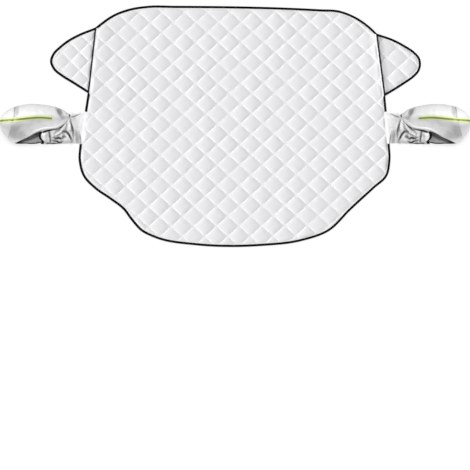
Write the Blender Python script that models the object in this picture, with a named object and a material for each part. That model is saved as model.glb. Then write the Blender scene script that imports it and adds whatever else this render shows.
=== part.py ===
"""A quilted windshield frost cover, spread flat on the ground with its outer face up.

The cover is a quilted panel with a bound edge, two quilted door flaps that are sewn under its
sides, and two mirror bags. Each bag hangs on a gathered sleeve, and carries a reflective strip.
Metres, +Z up. X runs along the windshield, and +Y points at the car's roof.
"""

import math

import bmesh
import bpy
import numpy as np
from mathutils import Vector

# Bound and pressed edges
TAPE = 0.0008  # thickness of the binding tape
BINDING_WIDTH = 0.010
PRESSED = 0.0016  # thickness of the quilting where it is sewn down
MARGIN = 0.015  # flat pressed edge inside the cut edge of each quilted sheet
HEM = 0.008  # how far a flap reaches under the panel, past the middle of the binding
SEAM_GAP = 0.0003  # between pieces that are sewn to each other
EDGE_STEP = 0.042  # length of the straight stretches along the panel's edge
FLAP_STEP = 0.027  # and along a flap's edge

# Quilting
PILLOW = 0.0065  # how far a pillow stands above the stitching
PILLOW_CROWN = 0.58  # size of a pillow's flat top against its cell
SMALLEST_CELL = 0.05  # share of a whole cell under which a scrap at the edge stays flat
SEAM_SPACING = 0.0762
SEAM_ANGLE = math.radians(41.8)
SEAM_CROSSING = (0.023, 0.112)
LEFT_FLAP_SPACING = 0.065
LEFT_FLAP_ANGLE = math.radians(44.5)
LEFT_FLAP_CROSSING = (-0.778, 0.371)
RIGHT_FLAP_CROSSING = (0.812, 0.292)

# Middle of the panel's binding, clockwise from the front of the left sleeve
LEFT_NECK_FRONT = (-0.773, -0.092)
LEFT_NECK_REAR = (-0.747, 0.073)
LEFT_FLAP_FRONT = (-0.734, 0.172)
LEFT_SHOULDER = (-0.704, 0.481)
RIGHT_SHOULDER = (0.710, 0.454)
RIGHT_FLAP_FRONT = (0.745, 0.162)
RIGHT_NECK_REAR = (0.7515, 0.073)
RIGHT_NECK_FRONT = (0.7685, -0.092)
TOP_CURVE = [
    (-0.612, 0.549), (-0.527, 0.583), (-0.435, 0.597), (-0.300, 0.597),
    (0.422, 0.580), (0.517, 0.573), (0.600, 0.539), (0.674, 0.489),
]  # fmt: skip
BOTTOM_CURVE = [
    (0.770, -0.171), (0.7545, -0.246), (0.691, -0.309), (0.572, -0.417), (0.466, -0.519),
    (0.3275, -0.569), (0.126, -0.593), (-0.020, -0.598), (-0.191, -0.590), (-0.400, -0.553),
    (-0.467, -0.520), (-0.517, -0.466), (-0.556, -0.414), (-0.624, -0.361), (-0.6965, -0.311),
    (-0.7565, -0.247), (-0.778, -0.167),
]  # fmt: skip

# Middle of each flap's binding, clockwise
LEFT_FLAP_CURVE = [
    (-0.8125, 0.220), (-0.8625, 0.251), (-0.9035, 0.286), (-0.9195, 0.326),
    (-0.905, 0.369), (-0.8825, 0.392), (-0.835, 0.430), (-0.787, 0.453),
]  # fmt: skip
RIGHT_FLAP_CURVE = [
    (0.790, 0.427), (0.850, 0.397), (0.8935, 0.370), (0.9185, 0.339),
    (0.9205, 0.307), (0.910, 0.279), (0.885, 0.247), (0.8475, 0.218), (0.8025, 0.189),
]  # fmt: skip
LIFT_FULL = 0.022  # round a flap's seam, the panel lies on the flap this far
LIFT_REACH = 0.120  # and is back on the ground this far away

# Mirror bags. Each row is a section across a bag: how far out it is from the cover's centre,
# its rear and front edges, its crest and its base above the ground, and the mouth's upper lip.
BAG_SECTIONS = [
    (1.1725, 0.044, -0.011, 0.062, 0.022, -0.011, 0.036),
    (1.155, 0.066, -0.044, 0.080, 0.005, -0.044, 0.023),
    (1.130, 0.083, -0.071, 0.091, 0.000, -0.071, 0.018),
    (1.108, 0.095, -0.085, 0.096, 0.000, -0.085, 0.018),
    (1.095, 0.099, -0.088, 0.098, 0.000, -0.088, 0.018),
    (1.075, 0.104, -0.091, 0.100, 0.000, -0.069, 0.040),
    (1.035, 0.111, -0.094, 0.102, 0.000, -0.051, 0.054),
    (0.995, 0.112, -0.093, 0.100, 0.000, -0.034, 0.062),
    (0.960, 0.109, -0.081, 0.097, 0.000, -0.021, 0.066),
    (0.920, 0.101, -0.066, 0.092, 0.000, -0.016, 0.068),
    (0.885, 0.092, -0.051, 0.084, 0.000, -0.009, 0.066),
    (0.855, 0.077, -0.031, 0.074, 0.000, 0.009, 0.060),
    (0.830, 0.061, -0.011, 0.062, 0.000, 0.037, 0.052),
]  # fmt: skip
END_SEAM = 3  # the section where the end panel is sewn to the body
MOUTH_START = 4  # the last section that is closed
SLEEVE_START = 8  # the section where the sleeve's free edge leaves the lip
CREST_SHARE = 0.4  # place of the crest between the rear edge and the lip
BAG_WALL = 0.0012
LOWER_LIP = 0.018
LIP_HEM = 0.008  # width of the hem inside the mouth's upper lip

# Reflective strip: the middle line on the bag's face, as distance out and place along Y
STRIP_LINE = [(1.1725, 0.026), (1.108, 0.030), (1.040, 0.037), (0.975, 0.042), (0.920, 0.038)]
STRIP_WIDTH = 0.025
STRIP_THICKNESS = 0.0006
REFLECTOR_WIDTH = 0.009
REFLECTOR_THICKNESS = 0.0004
STRIP_END = 9  # the section where the strip ends

# Sleeve and elastic
SLEEVE_WALL = 0.0012
SLEEVE_FRONT = -0.090  # the sleeve's front edge on the ground
SLEEVE_RINGS = 11
FOLDS = 3.5
FOLD_HEIGHT = 0.011
SLEEVE_END_GAP = 0.0015  # between the sleeve's corners and the ends of the bindings
ELASTIC_RADIUS = 0.0013
ELASTIC_GAP = 0.00095  # from the elastic to the hem round it
ELASTIC_SETBACK = 0.005

SHEET_BASE = TAPE + SEAM_GAP
SHEET_TOP = SHEET_BASE + PRESSED
BINDING_HEIGHT = SHEET_TOP + SEAM_GAP + TAPE
CUT_EDGE = BINDING_WIDTH / 2 - TAPE - SEAM_GAP  # from the binding's middle to the cut edge
LIFT = SHEET_TOP + SEAM_GAP


def material(name, colour, roughness, metallic=0.0):
    """A Principled material of one colour."""
    made = bpy.data.materials.new(name)
    made.use_nodes = True
    shader = made.node_tree.nodes["Principled BSDF"]
    shader.inputs["Base Color"].default_value = (*colour, 1.0)
    shader.inputs["Roughness"].default_value = roughness
    shader.inputs["Metallic"].default_value = metallic
    return made


def add_object(name, bm, finish, parent):
    """The bmesh as an object of the scene, with its faces turned outwards."""
    bmesh.ops.recalc_face_normals(bm, faces=bm.faces)
    mesh = bpy.data.meshes.new(name)
    bm.to_mesh(mesh)
    bm.free()
    mesh.materials.append(finish)
    made = bpy.data.objects.new(name, mesh)
    made.parent = parent
    bpy.context.scene.collection.objects.link(made)
    return made


def smooth_run(points, fineness=12):
    """A smooth curve through the points, with that many stretches between two of them."""
    given = np.array(points, float)
    chords = np.linalg.norm(np.diff(given[:, :2], axis=0), axis=1)
    slopes = np.diff(given, axis=0) / chords[:, None]
    tangents = np.empty_like(given)
    tangents[0], tangents[-1] = slopes[0], slopes[-1]
    weight = chords[:-1, None] / (chords[:-1] + chords[1:])[:, None]
    tangents[1:-1] = slopes[:-1] * (1 - weight) + slopes[1:] * weight
    curve = [given[0]]
    for i, chord in enumerate(chords):
        for t in np.linspace(0, 1, fineness + 1)[1:]:
            start = (1 + 2 * t) * (1 - t) ** 2 * given[i] + t * (1 - t) ** 2 * chord * tangents[i]
            end = t * t * (3 - 2 * t) * given[i + 1] - t * t * (1 - t) * chord * tangents[i + 1]
            curve.append(start + end)
    return np.array(curve)


def along(points):
    """How far along the line each of its points is."""
    return np.concatenate([[0], np.cumsum(np.linalg.norm(np.diff(points, axis=0), axis=1))])


def at_distances(points, distances):
    """The places on the line at those distances along it."""
    reach = along(points)
    return np.stack([np.interp(distances, reach, points[:, k]) for k in range(points.shape[1])], 1)


def even_run(points, step=EDGE_STEP):
    """A smooth curve through the points, in equal stretches of about that step."""
    curve = smooth_run(points)
    length = along(curve)[-1]
    return at_distances(curve, np.linspace(0, length, max(2, round(length / step) + 1)))


def joined(*runs):
    """Runs end to end as one line, with each shared corner once."""
    return np.concatenate([runs[0]] + [run[1:] for run in runs[1:]])


def offset_line(line, distance, closed=False):
    """The line moved to its left by the distance, with its corners mitred."""
    before, after = (np.roll(line, 1, axis=0), np.roll(line, -1, axis=0))
    arriving, leaving = line - before, after - line
    if not closed:
        arriving[0], leaving[-1] = leaving[0], arriving[-1]
    arriving /= np.linalg.norm(arriving, axis=1)[:, None]
    leaving /= np.linalg.norm(leaving, axis=1)[:, None]
    middle = arriving + leaving
    middle /= np.linalg.norm(middle, axis=1)[:, None]
    stretch = 1 / (middle * leaving).sum(axis=1)
    left = np.stack([-middle[:, 1], middle[:, 0]], axis=1)
    return line + left * (distance * stretch)[:, None]


def distance_to_line(point, line):
    """How far a point is from a line of straight stretches."""
    starts, steps = line[:-1], np.diff(line, axis=0)
    share = np.clip(((point - starts) * steps).sum(1) / (steps * steps).sum(1), 0, 1)
    return float(np.linalg.norm(point - starts - share[:, None] * steps, axis=1).min())


class Edges:
    """The middle line of each binding run, and what is worked out from them."""

    def __init__(self):
        self.left_neck = even_run([LEFT_NECK_FRONT, LEFT_NECK_REAR])
        self.left_side = joined(
            even_run([LEFT_NECK_REAR, LEFT_FLAP_FRONT]), even_run([LEFT_FLAP_FRONT, LEFT_SHOULDER])
        )
        self.top = even_run([LEFT_SHOULDER, *TOP_CURVE, RIGHT_SHOULDER])
        self.right_side = joined(
            even_run([RIGHT_SHOULDER, RIGHT_FLAP_FRONT]),
            even_run([RIGHT_FLAP_FRONT, RIGHT_NECK_REAR]),
        )
        self.right_neck = even_run([RIGHT_NECK_REAR, RIGHT_NECK_FRONT])
        self.bottom = even_run([RIGHT_NECK_FRONT, *BOTTOM_CURVE, LEFT_NECK_FRONT])
        self.round = joined(
            self.left_neck, self.left_side, self.top, self.right_side, self.right_neck, self.bottom
        )[:-1]
        self.left_flap_seam = even_run([LEFT_FLAP_FRONT, LEFT_SHOULDER])
        self.right_flap_seam = even_run([RIGHT_SHOULDER, RIGHT_FLAP_FRONT])
        self.left_flap = even_run([LEFT_FLAP_FRONT, *LEFT_FLAP_CURVE, LEFT_SHOULDER], FLAP_STEP)
        self.right_flap = even_run([RIGHT_SHOULDER, *RIGHT_FLAP_CURVE, RIGHT_FLAP_FRONT], FLAP_STEP)

    def rise(self, x, y):
        """How far the panel is lifted at a place, where it lies on a flap's hem."""
        near = min(
            distance_to_line(np.array([x, y]), seam)
            for seam in (self.left_flap_seam, self.right_flap_seam)
        )
        share = min(1, max(0, (LIFT_REACH - near) / (LIFT_REACH - LIFT_FULL)))
        return LIFT * (0.5 - 0.5 * math.cos(math.pi * share))


def level(_x, _y):
    """The ground under a piece that lies flat."""
    return 0.0


def stitch_seams(bm, crossing, spacing, angle):
    """Cuts the faces with material 1 along two families of parallel seams."""
    reach = max(max(abs(v.co.x), abs(v.co.y)) for v in bm.verts) * 2
    count = math.ceil(reach / spacing)
    for turn in (angle, -angle):
        across = (-math.sin(turn), math.cos(turn), 0)
        for k in range(-count, count + 1):
            place = [crossing[i] + across[i] * k * spacing for i in range(2)] + [0]
            faces = [f for f in bm.faces if f.material_index == 1]
            edges = list({e for f in faces for e in f.edges})
            verts = list({v for f in faces for v in f.verts})
            bmesh.ops.bisect_plane(
                bm, geom=verts + edges + faces, dist=1e-6, plane_co=place, plane_no=across
            )


def puff_cells(bm, cells, whole_cell):
    """Raises each stitched cell into a pillow; a part of a cell at the edge is lower."""
    cells = [f for f in cells if f.calc_area() > SMALLEST_CELL * whole_cell]
    sizes = [min(1.0, math.sqrt(f.calc_area() / whole_cell)) for f in cells]
    bmesh.ops.inset_individual(bm, faces=cells, thickness=0.0, depth=0.0)
    for cell, size in zip(cells, sizes):
        centre = cell.calc_center_median_weighted()
        for v in cell.verts:
            v.co = centre + (v.co - centre) * PILLOW_CROWN
            v.co.z += PILLOW * size


def quilted_sheet(name, outline, crossing, spacing, angle, ground, finish, parent):
    """A sheet with a pressed edge, stitched into cells that puff up. Inside the edge it lies on
    the ground, and at the edge it leaves room for the tape under it."""
    bm = bmesh.new()
    sheet = bm.faces.new([bm.verts.new((x, y, 0)) for x, y in outline])
    sheet.normal_update()
    if sheet.normal.z < 0:
        sheet.normal_flip()
    bmesh.ops.inset_region(
        bm, faces=[sheet], thickness=MARGIN, use_boundary=True, use_even_offset=True
    )
    sheet.material_index = 1
    stitch_seams(bm, crossing, spacing, angle)
    for v in bm.verts:
        if all(f.material_index == 1 for f in v.link_faces):
            v.co.z -= SHEET_BASE
    top = bmesh.ops.extrude_face_region(bm, geom=bm.faces[:])["geom"]
    bmesh.ops.translate(
        bm, verts=[g for g in top if isinstance(g, bmesh.types.BMVert)], vec=(0, 0, PRESSED)
    )
    whole_cell = spacing * spacing / abs(math.sin(2 * angle))
    puff_cells(
        bm,
        [g for g in top if isinstance(g, bmesh.types.BMFace) and g.material_index == 1],
        whole_cell,
    )
    for v in bm.verts:
        v.co.z += SHEET_BASE + ground(v.co.x, v.co.y)
    for f in bm.faces:
        f.material_index = 0
    return add_object(name, bm, finish, parent)


def bound_edge(name, line, ground, finish, parent):
    """Tape folded over an edge: a C section swept along the line, with its fold to the left."""
    half = BINDING_WIDTH / 2
    section = [
        (-half, 0), (half, 0), (half, BINDING_HEIGHT), (-half, BINDING_HEIGHT),
        (-half, BINDING_HEIGHT - TAPE), (half - TAPE, BINDING_HEIGHT - TAPE),
        (half - TAPE, TAPE), (-half, TAPE),
    ]  # fmt: skip
    columns = [offset_line(line, across) for across, _ in section]
    bm = bmesh.new()
    rings = [
        [
            bm.verts.new((x, y, z + ground(x, y)))
            for (x, y), (_, z) in zip([column[i] for column in columns], section)
        ]
        for i in range(len(line))
    ]
    for here, there in zip(rings, rings[1:]):
        for k in range(len(section)):
            after = (k + 1) % len(section)
            bm.faces.new((here[k], here[after], there[after], there[k]))
    for ring in (rings[0], rings[-1]):
        bm.faces.new(ring)
    return add_object(name, bm, finish, parent)


def trimmed(line, cut):
    """The line without a stretch of that length at each end."""
    reach = along(line)
    kept = reach[(reach > cut + cut / 2) & (reach < reach[-1] - cut - cut / 2)]
    return at_distances(line, [cut, *kept, reach[-1] - cut])


def crossing_of(start, along_it, other_start, along_other):
    """Where two straight lines cross, each given by a point and a direction."""
    ways = np.column_stack([along_it, -along_other])
    return start + along_it * np.linalg.solve(ways, other_start - start)[0]


class Bag:
    """The surface of a mirror bag, as a grid of points: sections from its tip, each from the
    mouth's lower lip under the bag, up its rear and over to the upper lip. X is distance out."""

    UNDER_SHARES = (0, 0.1, 0.35, 0.65, 0.9)
    REAR_COLUMNS = 3

    def __init__(self):
        self.sections = [self.section(row) for row in BAG_SECTIONS]
        self.strip_column = len(self.UNDER_SHARES) + self.REAR_COLUMNS
        line = np.array(STRIP_LINE)[::-1]
        grid, shares = [], None
        for i, (row, (under, over)) in enumerate(zip(BAG_SECTIONS, self.sections)):
            out = row[0]
            if i <= STRIP_END:
                middle = np.interp(out, line[:, 0], line[:, 1])
                shares = self.strip_shares(over, middle)
            grid.append(self.columns(out, under, over, shares))
        self.points = np.array(grid)
        self.normals = self.surface_normals()

    @staticmethod
    def section(row):
        """The curve under the bag and the curve over it, as places along Y and Z."""
        _, rear, front, crest, base, lip_y, lip_z = row
        height, depth = crest - base, rear - front
        crest_y = rear + CREST_SHARE * (lip_y - rear)
        lower_lip = (front, base + min(LOWER_LIP, 0.4 * height))
        if lip_y == front:
            lower_lip = (lip_y, lip_z)
        under = smooth_run(
            [lower_lip, (front + 0.05 * depth, base + 0.05 * height),
             (front + 0.25 * depth, base), (rear - 0.2 * depth, base),
             (rear - 0.03 * depth, base + 0.12 * height), (rear, base + 0.4 * height)]
        )  # fmt: skip
        under[:, 1] = np.maximum(under[:, 1], base)
        shoulder = (rear + 0.22 * (crest_y - rear), base + 0.78 * height)
        slope = (0.45 * crest_y + 0.55 * lip_y, 0.32 * crest + 0.68 * lip_z + 0.1 * (crest - lip_z))
        over = smooth_run([under[-1], shoulder, (crest_y, crest), slope, (lip_y, lip_z)])
        return under, over

    @staticmethod
    def strip_shares(over, middle):
        """Where the strip's and the reflector's edges lie along the curve over the bag."""
        reach = along(over)
        edges = [STRIP_WIDTH / 2, REFLECTOR_WIDTH / 2, -REFLECTOR_WIDTH / 2, -STRIP_WIDTH / 2]
        centre = np.interp(-middle, -over[:, 0], reach)
        return [(centre - edge) / reach[-1] for edge in edges]

    def columns(self, out, under, over, shares):
        """One section's points."""
        under_length, over_length = along(under)[-1], along(over)[-1]
        hem = 1 - LIP_HEM / over_length
        shares = np.array(shares) * min(1.0, 0.9 * hem / shares[-1])
        climb = [shares[0] * k / self.REAR_COLUMNS for k in range(self.REAR_COLUMNS)]
        over_shares = np.array([*climb, *shares, (shares[-1] + hem) / 2, hem, 1.0])
        section = np.concatenate([
            at_distances(under, np.array(self.UNDER_SHARES) * under_length),
            at_distances(over, over_shares * over_length),
        ])
        return np.column_stack([np.full(len(section), out), section])

    def surface_normals(self):
        """The direction out of the bag at each point."""
        lengthways = np.gradient(self.points, axis=0)
        around = np.gradient(self.points, axis=1)
        normals = np.cross(lengthways, around)
        normals /= np.linalg.norm(normals, axis=2)[:, :, None]
        crest = normals[len(normals) // 2, self.strip_column]
        return normals if crest[2] > 0 else -normals

    def lifted(self, section, column, distance):
        """A point that far off the surface."""
        return self.points[section, column] + self.normals[section, column] * distance


def grid_mesh(rows, side, closing=0):
    """A bmesh of the quads between rows of points; X is distance out, to the given side."""
    bm = bmesh.new()
    verts = [[bm.verts.new((side * x, y, z)) for x, y, z in row] for row in rows]
    for here, there in zip(verts, verts[1:]):
        for k in range(len(here) - 1):
            bm.faces.new((here[k], here[k + 1], there[k + 1], there[k]))
    if closing:
        bmesh.ops.remove_doubles(bm, verts=bm.verts, dist=closing)
    return bm


def walled(bm, wall, inside, straight_at=None):
    """Gives an open surface a wall, which grows away from the inside point or, where it is
    negative, towards it. At the X given, the wall's rim stays in its plane."""
    bmesh.ops.recalc_face_normals(bm, faces=bm.faces)
    faces = bm.faces[:]
    score = sum((f.calc_center_median() - inside).dot(f.normal) * f.calc_area() for f in faces)
    if score < 0:
        bmesh.ops.reverse_faces(bm, faces=faces)
    bm.normal_update()
    rim = [e for e in bm.edges if e.is_boundary]
    second = {}
    for v in bm.verts[:]:
        out = v.normal.copy()
        if straight_at is not None and abs(v.co.x - straight_at) < 1e-6:
            out.x = 0
            out.normalize()
        second[v] = bm.verts.new(v.co + out * wall)
    for f in faces:
        bm.faces.new([second[v] for v in reversed(f.verts)])
    for e in rim:
        first, last = e.verts
        bm.faces.new((first, last, second[last], second[first]))


def bag_shells(prefix, bag, side, finish, parent):
    """The end panel and the body of a bag, butted along the seam between them."""
    inside = Vector((side * BAG_SECTIONS[6][0], 0.02, 0.05))
    end_rim, body_rim = bag.points[END_SEAM].copy(), bag.points[END_SEAM].copy()
    end_rim[:, 0] += SEAM_GAP / 2
    body_rim[:, 0] -= SEAM_GAP / 2
    end = grid_mesh([*bag.points[:END_SEAM], end_rim], side, closing=1e-6)
    tip = [e for e in end.edges if e.is_boundary and e.verts[0].co.x * side > end_rim[0, 0] + SEAM_GAP]
    bmesh.ops.contextual_create(end, geom=tip)
    walled(end, -BAG_WALL, inside, straight_at=side * end_rim[0, 0])
    add_object(f"{prefix}_bag_end", end, finish, parent)
    body = grid_mesh([body_rim, *bag.points[END_SEAM + 1 :]], side, closing=1e-6)
    walled(body, -BAG_WALL, inside, straight_at=side * body_rim[0, 0])
    add_object(f"{prefix}_bag_body", body, finish, parent)


def slab(lower, upper, side):
    """A closed bmesh between two grids of points; X is distance out, to the given side."""
    bm = bmesh.new()
    layers = [
        [[bm.verts.new((side * x, y, z)) for x, y, z in row] for row in grid]
        for grid in (lower, upper)
    ]
    for layer in layers:
        for here, there in zip(layer, layer[1:]):
            for k in range(len(here) - 1):
                bm.faces.new((here[k], here[k + 1], there[k + 1], there[k]))
    low, high = (
        [*grid[0], *[row[-1] for row in grid[1:]], *grid[-1][-2::-1],
         *[row[0] for row in grid[-2:0:-1]]]
        for grid in layers
    )  # fmt: skip
    for k in range(len(low)):
        after = (k + 1) % len(low)
        bm.faces.new((low[k], low[after], high[after], high[k]))
    return bm


def tape_on_bag(name, bag, side, columns, lower, thickness, finish, parent):
    """A band of tape that lies on the bag's face, a set distance off it."""
    grids = [
        [[bag.lifted(i, c, height) for c in columns] for i in range(STRIP_END + 1)]
        for height in (lower, lower + thickness)
    ]
    add_object(name, slab(*grids, side), finish, parent)


def mouth_edge(bag):
    """The sewn edge of the mouth, from its rear over the crest and down the upper lip. Each
    place is the inner edge of the bag's wall there, the way off the bag, and the way out."""
    last = len(bag.points) - 1
    first = len(bag.UNDER_SHARES)
    spots = [(last, c, last - 1, c) for c in range(first, bag.points.shape[1])]
    spots += [(i, -1, i, -2) for i in range(last - 1, SLEEVE_START - 1, -1)]
    edge = []
    for i, c, before_i, before_c in spots:
        off = bag.points[i, c] - bag.points[before_i, before_c]
        edge.append([bag.lifted(i, c, -BAG_WALL), off / np.linalg.norm(off), bag.normals[i, c]])
    corner = bag.points.shape[1] - first - 1
    edge[corner][1] = edge[corner][1] + edge[corner + 1][1]
    return edge


def sleeve_starts(bag):
    """Where each row of the sleeve starts, and the way its wall grows there: along the mouth's
    sewn edge, then down the free edge to the ground in front of it."""
    starts = [(place + off * SEAM_GAP, out) for place, off, out in mouth_edge(bag)]
    top, out = starts[-1]
    ground = np.array([BAG_SECTIONS[SLEEVE_START][0], SLEEVE_FRONT, SEAM_GAP])
    for share in (0.35, 0.7, 1.0):
        angle = share * math.pi / 2
        bend = np.array([share, math.sin(angle), 1 - math.cos(angle)])
        starts.append((top + (ground - top) * bend, out))
    return starts


def sleeve_rows(bag, neck, side, ground):
    """The sleeve's lower and upper faces: rows from its rear edge to its front edge, each from
    the bag to the panel. The neck is the panel's line under the sleeve, rear end first."""
    starts = sleeve_starts(bag)
    edge = offset_line(neck, CUT_EDGE + SEAM_GAP)
    inner = offset_line(neck, -BINDING_WIDTH)
    reach = along(edge)[-1]
    rows = []
    for k, (start, _) in enumerate(starts):
        down = k / (len(starts) - 1)
        place = SLEEVE_END_GAP + (reach - 2 * SLEEVE_END_GAP) * down
        landing, sewn = (
            np.array([x, y, SHEET_TOP + SEAM_GAP + ground(side * x, y)])
            for x, y in (at_distances(line, [place])[0] for line in (edge, inner))
        )
        row = [start]
        for n in range(1, SLEEVE_RINGS):
            t = n / SLEEVE_RINGS
            point = start + (landing - start) * np.array([t, t, 1 - (1 - t) ** 1.4])
            swell = math.sin(math.pi * t) ** 0.7 * (0.35 + 0.65 * down)
            wave = 0.5 - 0.5 * math.cos(2 * math.pi * FOLDS * t + 1.2 * math.sin(3 * down))
            point[2] += FOLD_HEIGHT * swell * wave
            row.append(point)
        rows.append([*row, landing, sewn])
    lower = np.array(rows)
    normals = np.cross(np.gradient(lower, axis=1), np.gradient(lower, axis=0))
    normals /= np.linalg.norm(normals, axis=2)[:, :, None]
    if normals[len(rows) // 2, SLEEVE_RINGS // 2, 2] < 0:
        normals = -normals
    normals[:, 0] = [out for _, out in starts]
    return lower, lower + normals * SLEEVE_WALL


def sleeve(prefix, bag, neck, side, ground, finish, parent):
    """The gathered sleeve between the panel's edge and a bag's mouth."""
    faces = sleeve_rows(bag, neck, side, ground)
    add_object(f"{prefix}_bag_sleeve", slab(*faces, side), finish, parent)


def elastic(prefix, bag, side, finish, parent):
    """The round elastic inside the hem of a bag's mouth, along its upper and lower lips."""
    depth = BAG_WALL + ELASTIC_GAP + ELASTIC_RADIUS
    share = ELASTIC_SETBACK / LIP_HEM
    open_sections = range(MOUTH_START + 1, len(bag.points))
    upper = [
        (1 - share) * bag.lifted(i, -1, -depth) + share * bag.lifted(i, -2, -depth)
        for i in open_sections
    ]
    lower = [0.5 * bag.lifted(i, 0, -depth) + 0.5 * bag.lifted(i, 1, -depth) for i in open_sections]
    route = [*upper[::-1], *lower]
    curve = bpy.data.curves.new(f"{prefix}_mouth_elastic", "CURVE")
    curve.dimensions = "3D"
    curve.bevel_depth = ELASTIC_RADIUS
    curve.bevel_resolution = 1
    curve.use_fill_caps = True
    spline = curve.splines.new("POLY")
    spline.points.add(len(route) - 1)
    for point, (x, y, z) in zip(spline.points, route):
        point.co = (side * x, y, z, 1)
    curve.materials.append(finish)
    made = bpy.data.objects.new(f"{prefix}_mouth_elastic", curve)
    made.parent = parent
    bpy.context.scene.collection.objects.link(made)


def mirror_bag(prefix, bag, neck, side, ground, finishes, parent):
    """Everything that belongs to one mirror bag."""
    bag_shells(prefix, bag, side, finishes["silver"], parent)
    first = bag.strip_column
    tape_on_bag(
        f"{prefix}_strip", bag, side, range(first, first + 4), SEAM_GAP, STRIP_THICKNESS,
        finishes["strip"], parent,
    )  # fmt: skip
    tape_on_bag(
        f"{prefix}_reflector", bag, side, range(first + 1, first + 3),
        2 * SEAM_GAP + STRIP_THICKNESS, REFLECTOR_THICKNESS, finishes["reflector"], parent,
    )  # fmt: skip
    sleeve(prefix, bag, neck, side, ground, finishes["silver"], parent)
    elastic(prefix, bag, side, finishes["elastic"], parent)


def flap(prefix, line, seam, crossing, spacing, angle, finishes, parent):
    """A door flap, its hem under the panel's edge, and its binding."""
    hem = offset_line(seam, -HEM)
    cut_edge = offset_line(line, CUT_EDGE)
    for end, beside in ((0, 1), (-1, -2)):
        cut_edge[end] = crossing_of(
            cut_edge[end], cut_edge[end] - cut_edge[beside], hem[0], hem[-1] - hem[0]
        )
    quilted_sheet(
        f"{prefix}_door_flap", cut_edge, crossing, spacing, angle, level, finishes["quilt"], parent
    )
    bound_edge(
        f"{prefix}_flap_binding", trimmed(line, BINDING_WIDTH), level,
        finishes["binding"], parent,
    )  # fmt: skip


def main():
    for old in list(bpy.data.objects):
        bpy.data.objects.remove(old)
    finishes = {
        "quilt": material("quilted_laminate", (0.86, 0.86, 0.87), 0.5),
        "binding": material("binding_tape", (0.012, 0.012, 0.013), 0.7),
        "silver": material("silver_cloth", (0.72, 0.72, 0.74), 0.35, 0.6),
        "strip": material("fluorescent_tape", (0.68, 0.85, 0.20), 0.6),
        "reflector": material("reflective_tape", (0.30, 0.33, 0.16), 0.35),
        "elastic": material("elastic", (0.02, 0.02, 0.02), 0.8),
    }
    cover = bpy.data.objects.new("frost_cover", None)
    bpy.context.scene.collection.objects.link(cover)
    edges = Edges()
    quilted_sheet(
        "main_panel", offset_line(edges.round, CUT_EDGE, closed=True), SEAM_CROSSING,
        SEAM_SPACING, SEAM_ANGLE, edges.rise, finishes["quilt"], cover,
    )  # fmt: skip
    upper = joined(edges.left_side, edges.top, edges.right_side)
    bound_edge("upper_binding", upper, edges.rise, finishes["binding"], cover)
    bound_edge("lower_binding", edges.bottom, edges.rise, finishes["binding"], cover)
    flap(
        "left", edges.left_flap, edges.left_flap_seam, LEFT_FLAP_CROSSING,
        LEFT_FLAP_SPACING, LEFT_FLAP_ANGLE, finishes, cover,
    )  # fmt: skip
    flap(
        "right", edges.right_flap, edges.right_flap_seam, RIGHT_FLAP_CROSSING,
        SEAM_SPACING, SEAM_ANGLE, finishes, cover,
    )  # fmt: skip
    bag = Bag()
    outwards = np.array([-1.0, 1.0])
    left_neck = edges.left_neck[::-1] * outwards
    mirror_bag("left", bag, left_neck, -1, edges.rise, finishes, cover)
    mirror_bag("right", bag, edges.right_neck, 1, edges.rise, finishes, cover)


main()
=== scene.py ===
"""The looks of a quilted windshield frost cover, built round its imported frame.

The cover lies flat with its outer face up. Each sub-assembly is a class: the quilted sheets, the
black edge tape, and the two mirror bags with their gathered sleeves. Metres, +Z up.
"""

import logging
import math
from collections.abc import Callable, Sequence
from dataclasses import dataclass, field
from enum import Enum

import bmesh
import bpy
import numpy as np
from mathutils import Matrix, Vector, noise


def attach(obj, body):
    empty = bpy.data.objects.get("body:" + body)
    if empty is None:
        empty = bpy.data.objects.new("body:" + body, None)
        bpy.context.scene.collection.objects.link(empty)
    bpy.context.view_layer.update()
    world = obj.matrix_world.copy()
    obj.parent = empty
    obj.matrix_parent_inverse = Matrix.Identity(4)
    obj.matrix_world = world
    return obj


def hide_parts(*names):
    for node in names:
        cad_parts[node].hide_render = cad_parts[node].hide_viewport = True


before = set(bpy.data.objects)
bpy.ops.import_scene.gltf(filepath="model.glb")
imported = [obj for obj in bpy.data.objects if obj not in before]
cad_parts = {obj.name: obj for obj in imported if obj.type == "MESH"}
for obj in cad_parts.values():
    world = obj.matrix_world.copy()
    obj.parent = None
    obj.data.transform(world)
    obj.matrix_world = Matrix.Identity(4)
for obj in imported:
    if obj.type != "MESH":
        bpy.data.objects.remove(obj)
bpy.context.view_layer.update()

LOG = logging.getLogger("frost_cover")
BODY = "root"

Array = np.ndarray
Point = tuple[float, float]
Colour = tuple[float, float, float]
BMesh = bmesh.types.BMesh
Object = bpy.types.Object
Material = bpy.types.Material
Socket = bpy.types.NodeSocket
Ground = Callable[[Array], Array]

TAPE = 0.0008  # thickness of the binding tape
BINDING_WIDTH = 0.0115
PRESSED = 0.0016  # thickness of the quilting where it is sewn down
MARGIN = 0.012  # flat pressed edge of each quilted sheet
HEM = 0.008  # how far a flap reaches under the panel, past the middle of the binding
SEAM_GAP = 0.0003  # between pieces that are sewn to each other
SHEET_BASE = TAPE + SEAM_GAP
SHEET_TOP = SHEET_BASE + PRESSED
BINDING_HEIGHT = SHEET_TOP + SEAM_GAP + TAPE
CUT_EDGE = BINDING_WIDTH / 2 - TAPE - 2 * SEAM_GAP  # from the binding's middle to the cut edge
LIFT = SHEET_TOP + SEAM_GAP  # the panel lies this much higher on a flap's hem
LIFT_FULL = 0.022  # round a flap's seam, the panel is lifted this far
LIFT_REACH = 0.120  # and is back on the ground this far away
PANEL_STEP = 0.042  # stretches of the cut panel's edge before it is made fine
FLAP_STEP = 0.027
FINE_STEP = 0.003  # stretches of a finished edge
WELD = 0.00001  # points nearer to each other than this are one
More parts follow.
